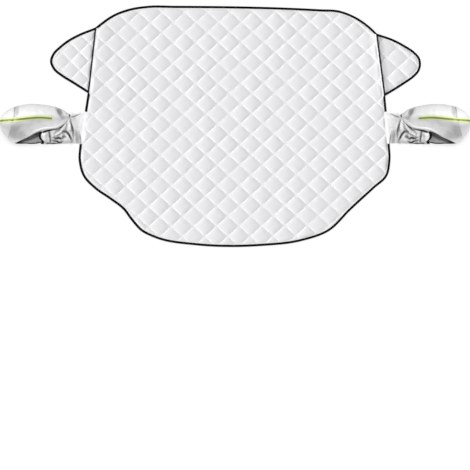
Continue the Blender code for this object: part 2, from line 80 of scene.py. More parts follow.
EDGE_ANGLE = math.radians(50)  # from here on, an edge isn't shaded smooth
SEED_STEPS = (7.31, 3.17, 5.53)  # from the noise of one seed to that of the next, in waves
STITCH_END = 0.06  # share of a stitch over which its thread goes down into the cloth


class Side(Enum):
    """The side of the cover, by the sign of its X."""

    LEFT = -1
    RIGHT = 1

    @property
    def prefix(self) -> str:
        """The start of the names of this side's pieces."""
        return self.name.lower()


class Slot(Enum):
    """The record's material slots."""

    QUILTING = "quilting"
    BINDING = "binding"
    SILVER = "silver_cloth"
    STRIP = "strip"
    REFLECTOR = "reflector"
    ELASTIC = "elastic"


class Group(Enum):
    """The groups of things, which each have their own key lamp."""

    FLAT = "flat_cover"
    LEFT = "left_mirror_bag"
    RIGHT = "right_mirror_bag"
    FLOOR = "studio_floor"

    @property
    def collection(self) -> bpy.types.Collection:
        """This group's collection, which is made when it is first asked for."""
        found = bpy.data.collections.get(self.value)
        if found is None:
            found = bpy.data.collections.new(self.value)
            bpy.context.scene.collection.children.link(found)
        return found


class Profile(Enum):
    """How a fold's height falls off to its sides."""

    ROUND = "round"
    SHARP = "sharp"


# Lines in plan and in space


def smooth_run(points: Sequence[Sequence[float]], fineness: int = 12) -> Array:
    """A smooth curve through points.

    Args:
        points: The places that it passes, at least two.
        fineness: How many stretches lie between two of them.

    Returns:
        The curve's points, one a row.
    """
    given = np.array(points, float)
    chords = np.linalg.norm(np.diff(given[:, :2], axis=0), axis=1)
    slopes = np.diff(given, axis=0) / chords[:, None]
    tangents = np.empty_like(given)
    tangents[0], tangents[-1] = slopes[0], slopes[-1]
    weight = chords[:-1, None] / (chords[:-1] + chords[1:])[:, None]
    tangents[1:-1] = slopes[:-1] * (1 - weight) + slopes[1:] * weight
    t = np.linspace(0, 1, fineness + 1)[1:, None]
    curve = [given[:1]]
    for i, chord in enumerate(chords):
        start = (1 + 2 * t) * (1 - t) ** 2 * given[i] + t * (1 - t) ** 2 * chord * tangents[i]
        end = t * t * (3 - 2 * t) * given[i + 1] - t * t * (1 - t) * chord * tangents[i + 1]
        curve.append(start + end)
    return np.concatenate(curve)


def along(line: Array) -> Array:
    """How far along the line each of its points is."""
    return np.concatenate([[0], np.cumsum(np.linalg.norm(np.diff(line, axis=0), axis=1))])


def at_distances(line: Array, distances: Array) -> Array:
    """The places on the line at those distances along it."""
    reach = along(line)
    return np.stack([np.interp(distances, reach, line[:, k]) for k in range(line.shape[1])], 1)


def evenly(line: Array, count: int) -> Array:
    """The line as that many points, at equal distances along it."""
    return at_distances(line, np.linspace(0, along(line)[-1], count))


def even_run(points: Sequence[Sequence[float]], step: float) -> Array:
    """A smooth curve through the points, in equal stretches of about that step."""
    curve = smooth_run(points, fineness=24)
    return evenly(curve, max(2, round(along(curve)[-1] / step) + 1))


def looped(line: Array) -> Array:
    """The line with its first point at its end again."""
    return np.vstack([line, line[:1]])


def unit(ways: Array) -> Array:
    """The ways, each with a length of 1."""
    return ways / np.linalg.norm(ways, axis=-1, keepdims=True)


def joined(*runs: Array) -> Array:
    """Runs end to end as one line, with each shared corner once."""
    return np.concatenate([runs[0]] + [run[1:] for run in runs[1:]])


def offset_line(line: Array, distance: float | Array, closed: bool = False) -> Array:
    """The line moved to its left, with its corners mitred.

    Args:
        line: Points in plan.
        distance: How far, as one number or one for each point.
        closed: Whether the line's ends meet.

    Returns:
        The moved points.
    """
    before, after = np.roll(line, 1, axis=0), np.roll(line, -1, axis=0)
    arriving, leaving = line - before, after - line
    if not closed:
        arriving[0], leaving[-1] = leaving[0], arriving[-1]
    leaving = unit(leaving)
    middle = unit(unit(arriving) + leaving)
    stretch = 1 / (middle * leaving).sum(axis=1)
    left = np.stack([-middle[:, 1], middle[:, 0]], axis=1)
    return line + left * (distance * stretch)[:, None]


def nearest_on_line(points: Array, line: Array) -> tuple[Array, Array]:
    """The nearest place on a line to each point, in plan.

    Args:
        points: The places to measure from, one a row.
        line: A line of straight stretches.

    Returns:
        How far each point is from the line, and the nearest places on it.
    """
    nearest = np.full(len(points), np.inf)
    places = np.zeros((len(points), 2))
    for start, step in zip(line[:-1], np.diff(line, axis=0)):
        share = np.clip((points - start) @ step / (step @ step), 0, 1)
        spots = start + share[:, None] * step
        far = np.linalg.norm(points - spots, axis=1)
        closer = far < nearest
        nearest[closer] = far[closer]
        places[closer] = spots[closer]
    return nearest, places


def eased(share: Array) -> Array:
    """0 below 0, 1 above 1, and a smooth rise between them."""
    held = np.clip(share, 0, 1)
    return held * held * (3 - 2 * held)


def grain(points: Array, wavelength: float, seed: float = 0.0) -> Array:
    """Smooth noise from about -1 to 1 at each point, which repeats at each run."""
    shift = Vector([seed * step for step in SEED_STEPS])
    return np.array([noise.noise(Vector(p) / wavelength + shift) for p in points.tolist()])


# Meshes


def grid_normals(places: Array, column: int | None = None) -> Array:
    """The unit normals of a grid of points.

    Args:
        places: The grid's points, as rows by columns by three.
        column: A column that faces up in its middle, if it isn't the middle one.

    Returns:
        The normals, on the side that faces up there.
    """
    normals = np.cross(np.gradient(places, axis=0), np.gradient(places, axis=1))
    normals /= np.linalg.norm(normals, axis=2)[:, :, None] + 1e-12
    middle = normals[places.shape[0] // 2, column or places.shape[1] // 2, 2]
    return normals if middle > 0 else -normals


def set_places(bm: BMesh, places: Array) -> None:
    """Puts the bmesh's vertices, in their own order, at those places."""
    for vert, place in zip(bm.verts, places.tolist()):
        vert.co = place


def cloth_grid(places: Array) -> BMesh:
    """A grid of cloth, with a UV map in metres.

    Args:
        places: The grid's points, as rows by columns by three.

    Returns:
        The open surface. U runs along a row and V from row to row.
    """
    rows, columns = places.shape[:2]
    bm = bmesh.new()
    flow = bm.loops.layers.uv.new("cloth")
    bmesh.ops.create_grid(
        bm, x_segments=columns - 1, y_segments=rows - 1, size=1.0, calc_uvs=False
    )
    set_places(bm, places.reshape(-1, 3))
    across = np.linalg.norm(np.diff(places, axis=1), axis=2).mean(axis=0)
    lengthways = np.linalg.norm(np.diff(places, axis=0), axis=2).mean(axis=1)
    u = np.concatenate([[0], np.cumsum(across)])
    v = np.concatenate([[0], np.cumsum(lengthways)])
    for face in bm.faces:
        for loop in face.loops:
            row, column = divmod(loop.vert.index, columns)
            loop[flow].uv = (u[column], v[row])
    return bm


def give_wall(bm: BMesh, wall: float, sample: int, outward: Vector) -> None:
    """Gives an open surface its thickness, on its inner side.

    Args:
        bm: The surface, which stays where it is.
        wall: The thickness.
        sample: The number of a face whose outer side is known.
        outward: The way that this face's outer side looks.
    """
    bmesh.ops.recalc_face_normals(bm, faces=bm.faces)
    bm.faces.ensure_lookup_table()
    if bm.faces[sample].normal.dot(outward) < 0:
        bmesh.ops.reverse_faces(bm, faces=bm.faces)
    bmesh.ops.solidify(bm, geom=bm.faces[:], thickness=wall)


def give_shares(bm: BMesh, name: str, shares: Array) -> None:
    """Gives the bmesh's vertices, in their own order, a share from 0 to 1 for the finishes."""
    layer = bm.verts.layers.float.new(name)
    for vert, share in zip(bm.verts, shares.reshape(-1).tolist()):
        vert[layer] = share


def add_piece(
    node: str, bm: BMesh, materials: Sequence[Material],
    group: Group,
) -> Object:
    """Makes the finished bmesh a piece of the cover.

    Args:
        node: The CAD node that it stands for.
        bm: Its mesh, which is freed.
        materials: Its materials, in the order of the faces' material numbers.
        group: The group that it belongs to.

    Returns:
        The piece, which rides on the cover's body.
    """
    bmesh.ops.recalc_face_normals(bm, faces=bm.faces)
    mesh = bpy.data.meshes.new(f"{node}_visual")
    bm.to_mesh(mesh)
    bm.free()
    mesh.shade_smooth()
    mesh.set_sharp_from_angle(angle=EDGE_ANGLE)
    for finish in materials:
        mesh.materials.append(finish)
    piece = bpy.data.objects.new(mesh.name, mesh)
    group.collection.objects.link(piece)
    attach(piece, BODY)
    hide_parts(node)
    triangles = sum(len(p.vertices) - 2 for p in mesh.polygons)
    LOG.info("%s: %d triangles", piece.name, triangles)
    return piece


# Finishes


class Graph:
    """The node tree of a material or a world, with short calls for the nodes used here."""

    def __init__(self, owner: Material | bpy.types.World) -> None:
        """Starts from the shader that its owner has."""
        self.owner = owner
        owner.use_nodes = True
        self.tree = owner.node_tree
        is_world = isinstance(owner, bpy.types.World)
        self.shader = self.tree.nodes["Background" if is_world else "Principled BSDF"]

    def node(self, kind: str, **settings: object) -> bpy.types.Node:
        """A new node of that kind, with its settings."""
        made = self.tree.nodes.new(kind)
        for key, value in settings.items():
            setattr(made, key, value)
        return made

    def feed(self, socket: Socket, value: object) -> None:
        """Links an output to the socket, or sets a number or a colour on it."""
        if isinstance(value, Socket):
            self.tree.links.new(value, socket)
        else:
            socket.default_value = value

    def math(self, operation: str, *values: object) -> Socket:
        """A Math node's result for those values."""
        made = self.node("ShaderNodeMath", operation=operation)
        for socket, value in zip(made.inputs, values):
            self.feed(socket, value)
        return made.outputs[0]

    def place(self, uv: str | None = None) -> Socket:
        """The point on the object, or on its UV map of that name."""
        if uv:
            return self.node("ShaderNodeUVMap", uv_map=uv).outputs["UV"]
        return self.node("ShaderNodeTexCoord").outputs["Object"]

    def share(self, name: str) -> Socket:
        """The mesh's attribute of that name, from 0 to 1."""
        return self.node("ShaderNodeAttribute", attribute_name=name).outputs["Fac"]

    def axes(self, place: Socket) -> list[Socket]:
        """The X, Y and Z of a place."""
        made = self.node("ShaderNodeSeparateXYZ")
        self.feed(made.inputs[0], place)
        return list(made.outputs)

    def noise(self, place: Socket, scale: float, detail: float = 3.0) -> Socket:
        """Noise from 0 to 1 at that many waves a metre."""
        made = self.node("ShaderNodeTexNoise")
        self.feed(made.inputs["Vector"], place)
        made.inputs["Scale"].default_value = scale
        made.inputs["Detail"].default_value = detail
        return made.outputs["Fac"]

    def spread(self, value: Socket, low: float, high: float, span: Point = (0.0, 1.0)) -> Socket:
        """The value, from one span to the one between low and high, and held there."""
        made = self.node("ShaderNodeMapRange")
        for socket, number in zip(made.inputs[:5], (value, *span, low, high)):
            self.feed(socket, number)
        return made.outputs[0]

    def blended(self, share: Socket, first: object, second: object) -> Socket:
        """A colour between two, by the share of the second."""
        made = self.node("ShaderNodeMix", data_type="RGBA")
        self.feed(made.inputs[0], share)
        for socket, value in ((made.inputs[6], first), (made.inputs[7], second)):
            self.feed(socket, (*value, 1.0) if isinstance(value, tuple) else value)
        return made.outputs[2]

    def distance(self, x: Socket, y: Socket, way_x: float, way_y: float) -> Socket:
        """How far a place in plan is along a way."""
        parts = (self.math("MULTIPLY", x, way_x), self.math("MULTIPLY", y, way_y))
        return self.math("ADD", *parts)

    def weave(self, thread: float) -> Socket:
        """The relief of a plain weave with that pitch, from 0 to 1, on the piece's UV map."""
        across, length, _ = self.axes(self.place("cloth"))
        weft = self.math("PINGPONG", across, thread / 2)
        warp = self.math("PINGPONG", length, thread / 2)
        return self.math("MULTIPLY", self.math("ADD", weft, warp), 1 / thread)

    def stitches(
        self, away: Socket, length: Socket, stitch: float, thread: float, soft: float = 0.5,
        gap: float = 0.10,
    ) -> Socket:
        """A row of stitches: 1 on their thread and 0 beside it.

        Args:
            away: How far from the row a place is.
            length: How far along the row it is.
            stitch: The length of a stitch and its gap.
            thread: Half the width of the thread.
            soft: The share of that width where the thread is at its full height.
            gap: The share of a stitch that is its gap, half of it at each end.

        Returns:
            The stitches.
        """
        dash = self.math("PINGPONG", length, stitch / 2)
        return self.math(
            "MULTIPLY",
            self.spread(away, 1, 0, (thread * soft, thread)),
            self.spread(dash, 0, 1, (stitch * gap, stitch * (gap + STITCH_END))),
        )

    def bump(self, height: Socket, depth: float, under: Socket | None = None) -> Socket:
        """A normal for a relief of that depth in metres, over another one."""
        made = self.node("ShaderNodeBump")
        made.inputs["Distance"].default_value = depth
        self.feed(made.inputs["Height"], height)
        if under is not None:
            self.feed(made.inputs["Normal"], under)
        return made.outputs[0]

    def seen(self) -> Socket:
        """1 where the camera sees it, straight, in a mirror or through something, and else 0."""
        path = self.node("ShaderNodeLightPath")
        camera, mirrored, through = (
            path.outputs[f"Is {ray} Ray"] for ray in ("Camera", "Glossy", "Transmission")
        )
        return self.math("MAXIMUM", self.math("MAXIMUM", camera, mirrored), through)

    def dress(self, **sockets: object) -> Material | bpy.types.World:
        """Sets the shader's sockets, named with _ for each space, and returns the owner."""
        for key, value in sockets.items():
            value = (*value, 1.0) if isinstance(value, tuple) and len(value) == 3 else value
            self.feed(self.shader.inputs[key.replace("_", " ")], value)
        return self.owner


@dataclass(frozen=True)
class SeamLattice:
    """The quilting's two families of parallel seams.

    Args:
        crossing: A place where two seams cross.
        spacing: The distance between parallel seams of each family.
        angle: How far each family is turned from the X axis, one each way.
    """

    crossing: Point
    spacing: Point = (0.0752, 0.0767)
    angle: float = math.radians(41.95)

    @property
    def ways(self) -> Array:
        """The unit way across the seams of each family."""
        return np.array([(-math.sin(turn), math.cos(turn)) for turn in (self.angle, -self.angle)])

    def counts(self, points: Array) -> Array:
        """How many seams of each family lie between the crossing and each point."""
        offsets = points[:, :2] - np.array(self.crossing)
        return offsets @ self.ways.T / np.array(self.spacing)

    def places(self, counts: Array) -> Array:
        """The points in plan at those counts, which undoes counts()."""
        across = counts * np.array(self.spacing)
        return across @ np.linalg.inv(self.ways).T + np.array(self.crossing)

    @property
    def cell(self) -> float:
        """The area of a whole stitched cell."""
        return self.spacing[0] * self.spacing[1] / abs(math.sin(2 * self.angle))


@dataclass(frozen=True)
class QuiltedLaminate:
    """White film laminated cloth, stitched in diamonds."""

    colour: Colour = (0.80, 0.797, 0.812)
    white_edge_and_highlight_colour: Colour = (0.94, 0.94, 0.94)  # of the flat edges, and of the painted highlight along the seams
    tucked_colour: Colour = (0.06, 0.06, 0.062)  # in another sheet's shade
    seam_highlight: float = 0.8  # painted highlight: share of the white edge colour along the seams
    seam_highlight_reach: Point = (0.0015, 0.0060)  # from a seam, where it starts to fade and is gone
    stitch: float = 0.0034  # length of a stitch and its gap
    thread: float = 0.0007  # half the width of the thread
    pucker_reach: float = 0.011
    pucker_waves: Point = (150.0, 22.0)  # a metre, along a seam and across it

    def make(self, name: str, lattice: SeamLattice) -> Material:
        """The material for a sheet with those seams."""
        graph = Graph(bpy.data.materials.new(name))
        place = graph.place()
        x, y, _ = graph.axes(place)
        east = graph.math("SUBTRACT", x, lattice.crossing[0])
        north = graph.math("SUBTRACT", y, lattice.crossing[1])
        near, threads, puckers = [], [], []
        for (way_x, way_y), spacing in zip(lattice.ways.tolist(), lattice.spacing):
            across = graph.distance(east, north, way_x, way_y)
            length = graph.distance(east, north, way_y, -way_x)
            away = graph.math("PINGPONG", across, spacing / 2)
            streak = graph.node("ShaderNodeCombineXYZ")
            for socket, place_in, waves in zip(streak.inputs, (length, across), self.pucker_waves):
                graph.feed(socket, graph.math("MULTIPLY", place_in, waves))
            near.append(away)
            threads.append(graph.stitches(away, length, self.stitch, self.thread))
            puckers.append(graph.math(
                "MULTIPLY",
                graph.noise(streak.outputs[0], scale=1.0, detail=1.0),
                graph.spread(away, 1, 0, (0.0, self.pucker_reach)),
            ))
        creases = graph.noise(place, scale=38.0, detail=4.0)
        normal = graph.bump(graph.noise(place, scale=1400.0, detail=2.0), depth=0.00003)
        normal = graph.bump(creases, depth=0.0009, under=normal)
        normal = graph.bump(graph.math("MAXIMUM", *puckers), depth=0.0016, under=normal)
        normal = graph.bump(graph.math("MAXIMUM", *threads), depth=0.0004, under=normal)
        # Painted highlight: near each seam the colour turns towards the white edge colour.
        seam_highlight = graph.spread(graph.math("MINIMUM", *near), self.seam_highlight, 0, self.seam_highlight_reach)
        white = graph.math("MAXIMUM", graph.share("pressed"), seam_highlight)
        film_colour = graph.blended(white, self.colour, self.white_edge_and_highlight_colour)
        return graph.dress(
            Base_Color=graph.blended(graph.share("tucked"), film_colour, self.tucked_colour),
            Roughness=graph.spread(creases, 0.46, 0.60),
            Specular_IOR_Level=0.4,
            Normal=normal,
        )


@dataclass(frozen=True)
class BindingTape:
    """Black ribbed tape, with one row of stitches near its inner edge."""

    colour: Colour = (0.0035, 0.0035, 0.0038)
    thread_colour: Colour = (0.009, 0.009, 0.010)
    rib: float = 0.0009
    stitch: float = 0.0032
    thread: float = 0.0005

    def make(self, name: str, seam: float) -> Material:
        """The material for a tape with stitches at that place across its UV map."""
        graph = Graph(bpy.data.materials.new(name))
        across, length, _ = graph.axes(graph.place("cloth"))
        ribs = graph.math("PINGPONG", length, self.rib / 2)
        away = graph.math("ABSOLUTE", graph.math("SUBTRACT", across, seam))
        thread = graph.stitches(away, length, self.stitch, self.thread, soft=0.6, gap=0.08)
        wear = graph.noise(graph.place(), scale=60.0)
        normal = graph.bump(graph.spread(ribs, 0, 1, (0.0, self.rib / 2)), depth=0.00012)
        normal = graph.bump(thread, depth=0.0004, under=normal)
        return graph.dress(
            Base_Color=graph.blended(thread, self.colour, self.thread_colour),
            Roughness=graph.spread(wear, 0.75, 0.90),
            Specular_IOR_Level=0.05,
            Normal=normal,
        )


@dataclass(frozen=True)
class SilverCloth:
    """Thin plain woven cloth with an aluminised face, or its grey back."""

    colour: Colour = (0.79, 0.79, 0.80)
    worn_colour: Colour = (0.74, 0.74, 0.75)
    # painted shade in the folds, and the black of the hems
    crease_colour: Colour = (0.012, 0.012, 0.013)
    metallic: float = 0.10
    roughness: Point = (0.42, 0.54)
    thread: float = 0.0007  # from thread to thread of the weave
    crinkle: float = 0.0009  # depth of the small creases

    def make(self, name: str) -> Material:
        """The material, with its weave on the piece's UV map."""
        graph = Graph(bpy.data.materials.new(name))
        place = graph.place()
        soft = graph.noise(place, scale=34.0, detail=3.0)
        fold = graph.math("ABSOLUTE", graph.math("SUBTRACT", soft, 0.5))
        fine = graph.noise(place, scale=120.0, detail=2.0)
        normal = graph.bump(graph.weave(self.thread), depth=0.00008)
        normal = graph.bump(fine, depth=self.crinkle / 4, under=normal)
        sharp = graph.spread(fold, 0, 1, (0.0, 0.25))
        normal = graph.bump(sharp, depth=self.crinkle, under=normal)
        tone = graph.spread(soft, 0, 1, (0.35, 0.65))
        cloth = graph.blended(tone, self.colour, self.worn_colour)
        # Painted shade in the folds, and the black hems, darken the colour and take away its sheen.
        crease = graph.share("crease")
        return graph.dress(
            Base_Color=graph.blended(crease, cloth, self.crease_colour),
            Metallic=graph.spread(crease, self.metallic, 0),
            Roughness=graph.spread(fine, *self.roughness),
            Specular_IOR_Level=graph.spread(crease, 0.5, 0),
            Normal=normal,
        )


@dataclass(frozen=True)
class FluorescentTape:
    """Bright lime woven tape."""

    colour: Colour = (0.77, 0.89, 0.42)
    shade_colour: Colour = (0.70, 0.83, 0.34)
    thread: float = 0.0009

    def make(self, name: str) -> Material:
        """The material, with its weave on the piece's UV map."""
        graph = Graph(bpy.data.materials.new(name))
        tone = graph.noise(graph.place(), scale=90.0)
        return graph.dress(
            Base_Color=graph.blended(tone, self.shade_colour, self.colour),
            Roughness=graph.spread(tone, 0.50, 0.65),
            Normal=graph.bump(graph.weave(self.thread), depth=0.00012),
        )


@dataclass(frozen=True)
class ReflectiveTape:
    """Olive grey tape of glass beads, in a fine net of cells."""

    colour: Colour = (0.17, 0.19, 0.065)
    cell_colour: Colour = (0.23, 0.25, 0.10)
    cell: float = 0.0030

    def make(self, name: str) -> Material:
        """The material, with its net on the piece's UV map."""
        graph = Graph(bpy.data.materials.new(name))
        net = graph.node("ShaderNodeTexVoronoi", feature="DISTANCE_TO_EDGE")
        graph.feed(net.inputs["Vector"], graph.place("cloth"))
        net.inputs["Scale"].default_value = 1 / self.cell
        cells = graph.spread(net.outputs["Distance"], 0, 1, (0.03, 0.12))
        beads = graph.noise(graph.place(), scale=2600.0, detail=1.0)
        normal = graph.bump(beads, depth=0.00003)
        return graph.dress(
            Base_Color=graph.blended(cells, self.colour, self.cell_colour),
            Roughness=graph.spread(beads, 0.30, 0.42),
            Metallic=0.3,
            Normal=graph.bump(cells, depth=0.00015, under=normal),
        )


@dataclass(frozen=True)
class ElasticCord:
    """Round elastic with a braided cover."""

    colour: Colour = (0.025, 0.025, 0.026)
    gap_colour: Colour = (0.008, 0.008, 0.008)

    def make(self, name: str) -> Material:
        """The material, with its braid on Object coordinates."""
        graph = Graph(bpy.data.materials.new(name))
        braid = graph.node("ShaderNodeTexVoronoi")
        graph.feed(braid.inputs["Vector"], graph.place())
        braid.inputs["Scale"].default_value = 1600.0
        return graph.dress(
            Base_Color=graph.blended(braid.outputs["Distance"], self.colour, self.gap_colour),
            Roughness=0.8,
            Normal=graph.bump(braid.outputs["Distance"], depth=0.0003),
        )


# The flat cover


@dataclass(frozen=True)
class CoverPattern:
    """The edges of the cut pieces in plan, each the middle line of its binding."""

    left_neck_front: Point = (-0.773, -0.088)
    left_neck_rear: Point = (-0.747, 0.073)
    left_flap_front: Point = (-0.732, 0.169)
    left_shoulder: Point = (-0.6960, 0.4895)
    right_shoulder: Point = (0.7045, 0.4585)
    right_flap_front: Point = (0.7435, 0.155)
    right_neck_rear: Point = (0.7515, 0.073)
    right_neck_front: Point = (0.7665, -0.087)
    top_curve: tuple[Point, ...] = (
        (-0.6635, 0.516), (-0.6135, 0.550), (-0.527, 0.583), (-0.435, 0.597),
        (-0.300, 0.597),
        (0.422, 0.5795), (0.517, 0.5735), (0.601, 0.541), (0.674, 0.489),
    )  # fmt: skip
    bottom_curve: tuple[Point, ...] = (
        (0.770, -0.171), (0.7545, -0.246), (0.6895, -0.3075), (0.5715, -0.4165), (0.466, -0.519),
        (0.3275, -0.569), (0.126, -0.593), (-0.020, -0.598), (-0.191, -0.590), (-0.400, -0.553),
        (-0.467, -0.520), (-0.517, -0.466), (-0.556, -0.414), (-0.624, -0.361),
        (-0.6965, -0.311), (-0.7565, -0.247), (-0.778, -0.167),
    )  # fmt: skip
    left_flap_curve: tuple[Point, ...] = (
        (-0.8125, 0.220), (-0.8625, 0.251), (-0.9050, 0.286), (-0.9210, 0.324),
        (-0.9035, 0.3685), (-0.8805, 0.391), (-0.8335, 0.4275), (-0.787, 0.453),
    )  # fmt: skip
    right_flap_curve: tuple[Point, ...] = (
        (0.790, 0.429), (0.850, 0.397), (0.892, 0.3685), (0.918, 0.3375),
        (0.9225, 0.305), (0.914, 0.2765), (0.888, 0.248), (0.8485, 0.220), (0.8025, 0.190),
    )  # fmt: skip

    seam_crowns: tuple[tuple[Side, float], ...] = ((Side.LEFT, 0.0), (Side.RIGHT, 0.0080))
    seam_reach: float = 0.036

    def neck(self, side: Side, step: float) -> Array:
        """The panel's edge under a bag's sleeve, clockwise."""
        if side is Side.LEFT:
            return even_run([self.left_neck_front, self.left_neck_rear], step)
        return even_run([self.right_neck_rear, self.right_neck_front], step)

    def flap_seam(self, side: Side, step: float) -> Array:
        """The panel's edge over a flap, clockwise round the panel."""
        if side is Side.LEFT:
            return even_run([self.left_flap_front, self.left_shoulder], step)
        return even_run([self.right_shoulder, self.right_flap_front], step)

    def flap(self, side: Side, step: float) -> Array:
        """A flap's bound edge, clockwise."""
        if side is Side.LEFT:
            ends = (self.left_flap_front, *self.left_flap_curve, self.left_shoulder)
        else:
            ends = (self.right_shoulder, *self.right_flap_curve, self.right_flap_front)
        return even_run(ends, step)

    def upper(self, step: float) -> Array:
        """The bound edge over the flaps and the top, from the left neck to the right one."""
        return joined(
            even_run([self.left_neck_rear, self.left_flap_front], step),
            self.flap_seam(Side.LEFT, step),
            even_run([self.left_shoulder, *self.top_curve, self.right_shoulder], step),
            self.flap_seam(Side.RIGHT, step),
            even_run([self.right_flap_front, self.right_neck_rear], step),
        )

    def lower(self, step: float) -> Array:
        """The bound edge along the bottom, from the right neck to the left one."""
        ends = (self.right_neck_front, *self.bottom_curve, self.left_neck_front)
        return even_run(ends, step)

    def panel(self, step: float) -> Array:
        """The edge all round the panel, as a closed line whose last point isn't repeated."""
        runs = (
            self.neck(Side.LEFT, step), self.upper(step), self.neck(Side.RIGHT, step),
            self.lower(step),
        )  # fmt: skip
        return joined(*runs)[:-1]

    def ridge(self, points: Array) -> Array:
        """How far the stiff seams of the flaps stand off the ground at each place."""
        height = np.zeros(len(points))
        for side, crown in self.seam_crowns:
            seam = self.flap_seam(side, PANEL_STEP)
            away, spots = nearest_on_line(points[:, :2], seam)
            share = (spots[:, 1] - seam[:, 1].min()) / np.ptp(seam[:, 1])
            near = np.clip(1 - away / self.seam_reach, 0, 1)
            height += crown * (0.5 + 0.5 * share) * eased(near)
        return height

    def off_seams(self, points: Array) -> Array:
        """How far each place is from the nearer flap's seam."""
        seams = [self.flap_seam(side, PANEL_STEP) for side in Side]
        return np.min([nearest_on_line(points[:, :2], seam)[0] for seam in seams], axis=0)

    def rise(self, points: Array) -> Array:
        """How far the panel is lifted at each place, where it lies on a flap's hem."""
        near = self.off_seams(points)
        share = np.clip((LIFT_REACH - near) / (LIFT_REACH - LIFT_FULL), 0, 1)
        return LIFT * (0.5 - 0.5 * np.cos(math.pi * share)) + self.ridge(points)


@dataclass
class QuiltedSheet:
    """A quilted sheet: two faces with wadding between them, sewn down in diamonds.

    Args:
        name: The piece's and its node's name.
        cut: The cut edge in coarse stretches, closed.
        edge: The cut edge in fine stretches, closed.
        lattice: The seams.
        ground: The height under the sheet.
        fineness: The number of stretches along the side of a cell.
        pillow: How far a whole pillow stands above the stitching.
        swell: How steeply a pillow rises from its seams; 1 is straight.
        rim: How far from the pressed edge a pillow has its full height.
        settled: How much one pillow's height differs from another's.
        tuck: The line where it goes under another sheet, if it does.
        tuck_reach: How far from that line it is in the other sheet's shade.
        tuck_shade: How dark it is at that line.
        tuck_white: From where, beside that line, its pressed edge may look white.
        crowding: How much closer to a seam the rows of points lie.
        corner: How a pillow rounds off towards its corners; 1 is the plain product.
        press_fade: Where the pressed edge's white starts to fade, before its end, and over what.
        whole_within: The share by which a whole cell's area may differ.
    """

    name: str
    cut: Array
    edge: Array
    lattice: SeamLattice
    ground: Ground
    tuck: Array | None = None
    tuck_reach: float = 0.0
    tuck_shade: float = 0.5
    tuck_white: float = 0.008
    fineness: int = 10
    pillow: float = 0.0060
    swell: float = 3.3
    rim: float = 0.018
    settled: float = 0.10
    crowding: float = 0.4
    corner: float = 0.8
    press_fade: Point = (0.004, 0.007)
    whole_within: float = 0.001

    def cut_cells(self, bm: BMesh) -> None:
        """Cuts the flat sheet along its seams."""
        reach = math.ceil(np.abs(self.lattice.counts(self.cut)).max())
        for across, spacing in zip(self.lattice.ways, self.lattice.spacing):
            for k in range(-reach, reach + 1):
                place = np.array(self.lattice.crossing) + across * k * spacing
                bmesh.ops.bisect_plane(
                    bm, geom=bm.verts[:] + bm.edges[:] + bm.faces[:], dist=1e-6,
                    plane_co=(*place, 0), plane_no=(*across, 0),
                )  # fmt: skip

    def flat_mesh(self) -> BMesh:
        """The flat sheet, in whole cells of small quads and cut cells of small triangles."""
        bm = bmesh.new()
        bm.faces.new([bm.verts.new((x, y, 0)) for x, y in self.cut])
        self.cut_cells(bm)
        whole = [
            len(f.verts) == 4 and abs(f.calc_area() / self.lattice.cell - 1) < self.whole_within
            for f in bm.faces
        ]
        bmesh.ops.poke(bm, faces=[f for f, kept in zip(bm.faces, whole) if not kept])
        bmesh.ops.subdivide_edges(
            bm, edges=bm.edges[:], cuts=self.fineness - 1, use_grid_fill=True
        )
        rim = [v for v in bm.verts if v.is_boundary]
        _, snapped = nearest_on_line(np.array([v.co[:2] for v in rim]), looped(self.edge))
        for vert, place in zip(rim, snapped.tolist()):
            vert.co = (*place, 0)
        return bm

    def inward(self, points: Array) -> Array:
        """How far each point is inside the cut edge."""
        return nearest_on_line(points[:, :2], looped(self.cut))[0]

    def crowded(self, points: Array, inward: Array) -> Array:
        """The points, drawn towards the seams so that a seam's groove has more of them."""
        counts = self.lattice.counts(points)
        parts = counts - np.round(counts)
        power = 1 + self.crowding * eased(inward / self.lattice.spacing[0])[:, None]
        drawn = 0.5 * np.sign(parts) * (2 * np.abs(parts)) ** power
        return self.lattice.places(np.round(counts) + drawn)

    def heights(self, points: Array, inward: Array) -> Array:
        """How far the upper face stands above the stitching at each point."""
        counts = self.lattice.counts(points)
        near_seam = 1 - 2 * np.abs(counts - np.round(counts))
        rise = 1 - near_seam**self.swell
        cells = np.floor(counts)
        loft = {
            tuple(cell): 1 + self.settled * (2 * noise.cell(Vector((*cell, 0.5))) - 1)
            for cell in np.unique(cells, axis=0).tolist()
        }
        scale = np.array([loft[tuple(cell)] for cell in cells.tolist()])
        edge = 1 - (1 - np.clip((inward - MARGIN) / self.rim, 0, 1)) ** self.swell
        return self.pillow * scale * (rise[:, 0] * rise[:, 1]) ** self.corner * edge

    def build(self) -> BMesh:
        """The closed sheet, with its pillows on top and a flat underside."""
        bm = self.flat_mesh()
        flat = np.array([v.co for v in bm.verts])
        drawn = self.crowded(flat, self.inward(flat))
        set_places(bm, np.column_stack([drawn, np.zeros(len(drawn))]))
        made = bmesh.ops.extrude_face_region(bm, geom=bm.faces[:])["geom"]
        raised = {g for g in made if isinstance(g, bmesh.types.BMVert)}
        upper = np.array([v in raised for v in bm.verts])
        places = np.array([v.co for v in bm.verts])
        inward = self.inward(places)
        sunk = SHEET_BASE * (1 - eased((inward - MARGIN / 2) / MARGIN))
        before, fade = self.press_fade
        pressed = 1 - eased((inward - MARGIN + before) / fade)
        tucked = np.zeros(len(places))
        if self.tuck is not None:
            beside = nearest_on_line(places[:, :2], self.tuck)[0]
            pressed *= eased((beside - self.tuck_white) / self.tuck_white)
            tucked = self.tuck_shade * np.clip(1 - beside / self.tuck_reach, 0, 1) ** 1.5
        give_shares(bm, "pressed", pressed)
        give_shares(bm, "tucked", tucked)
        places[:, 2] = self.ground(places) + sunk
        places[upper, 2] += PRESSED + self.heights(places[upper], inward[upper])
        set_places(bm, places)
        return bm

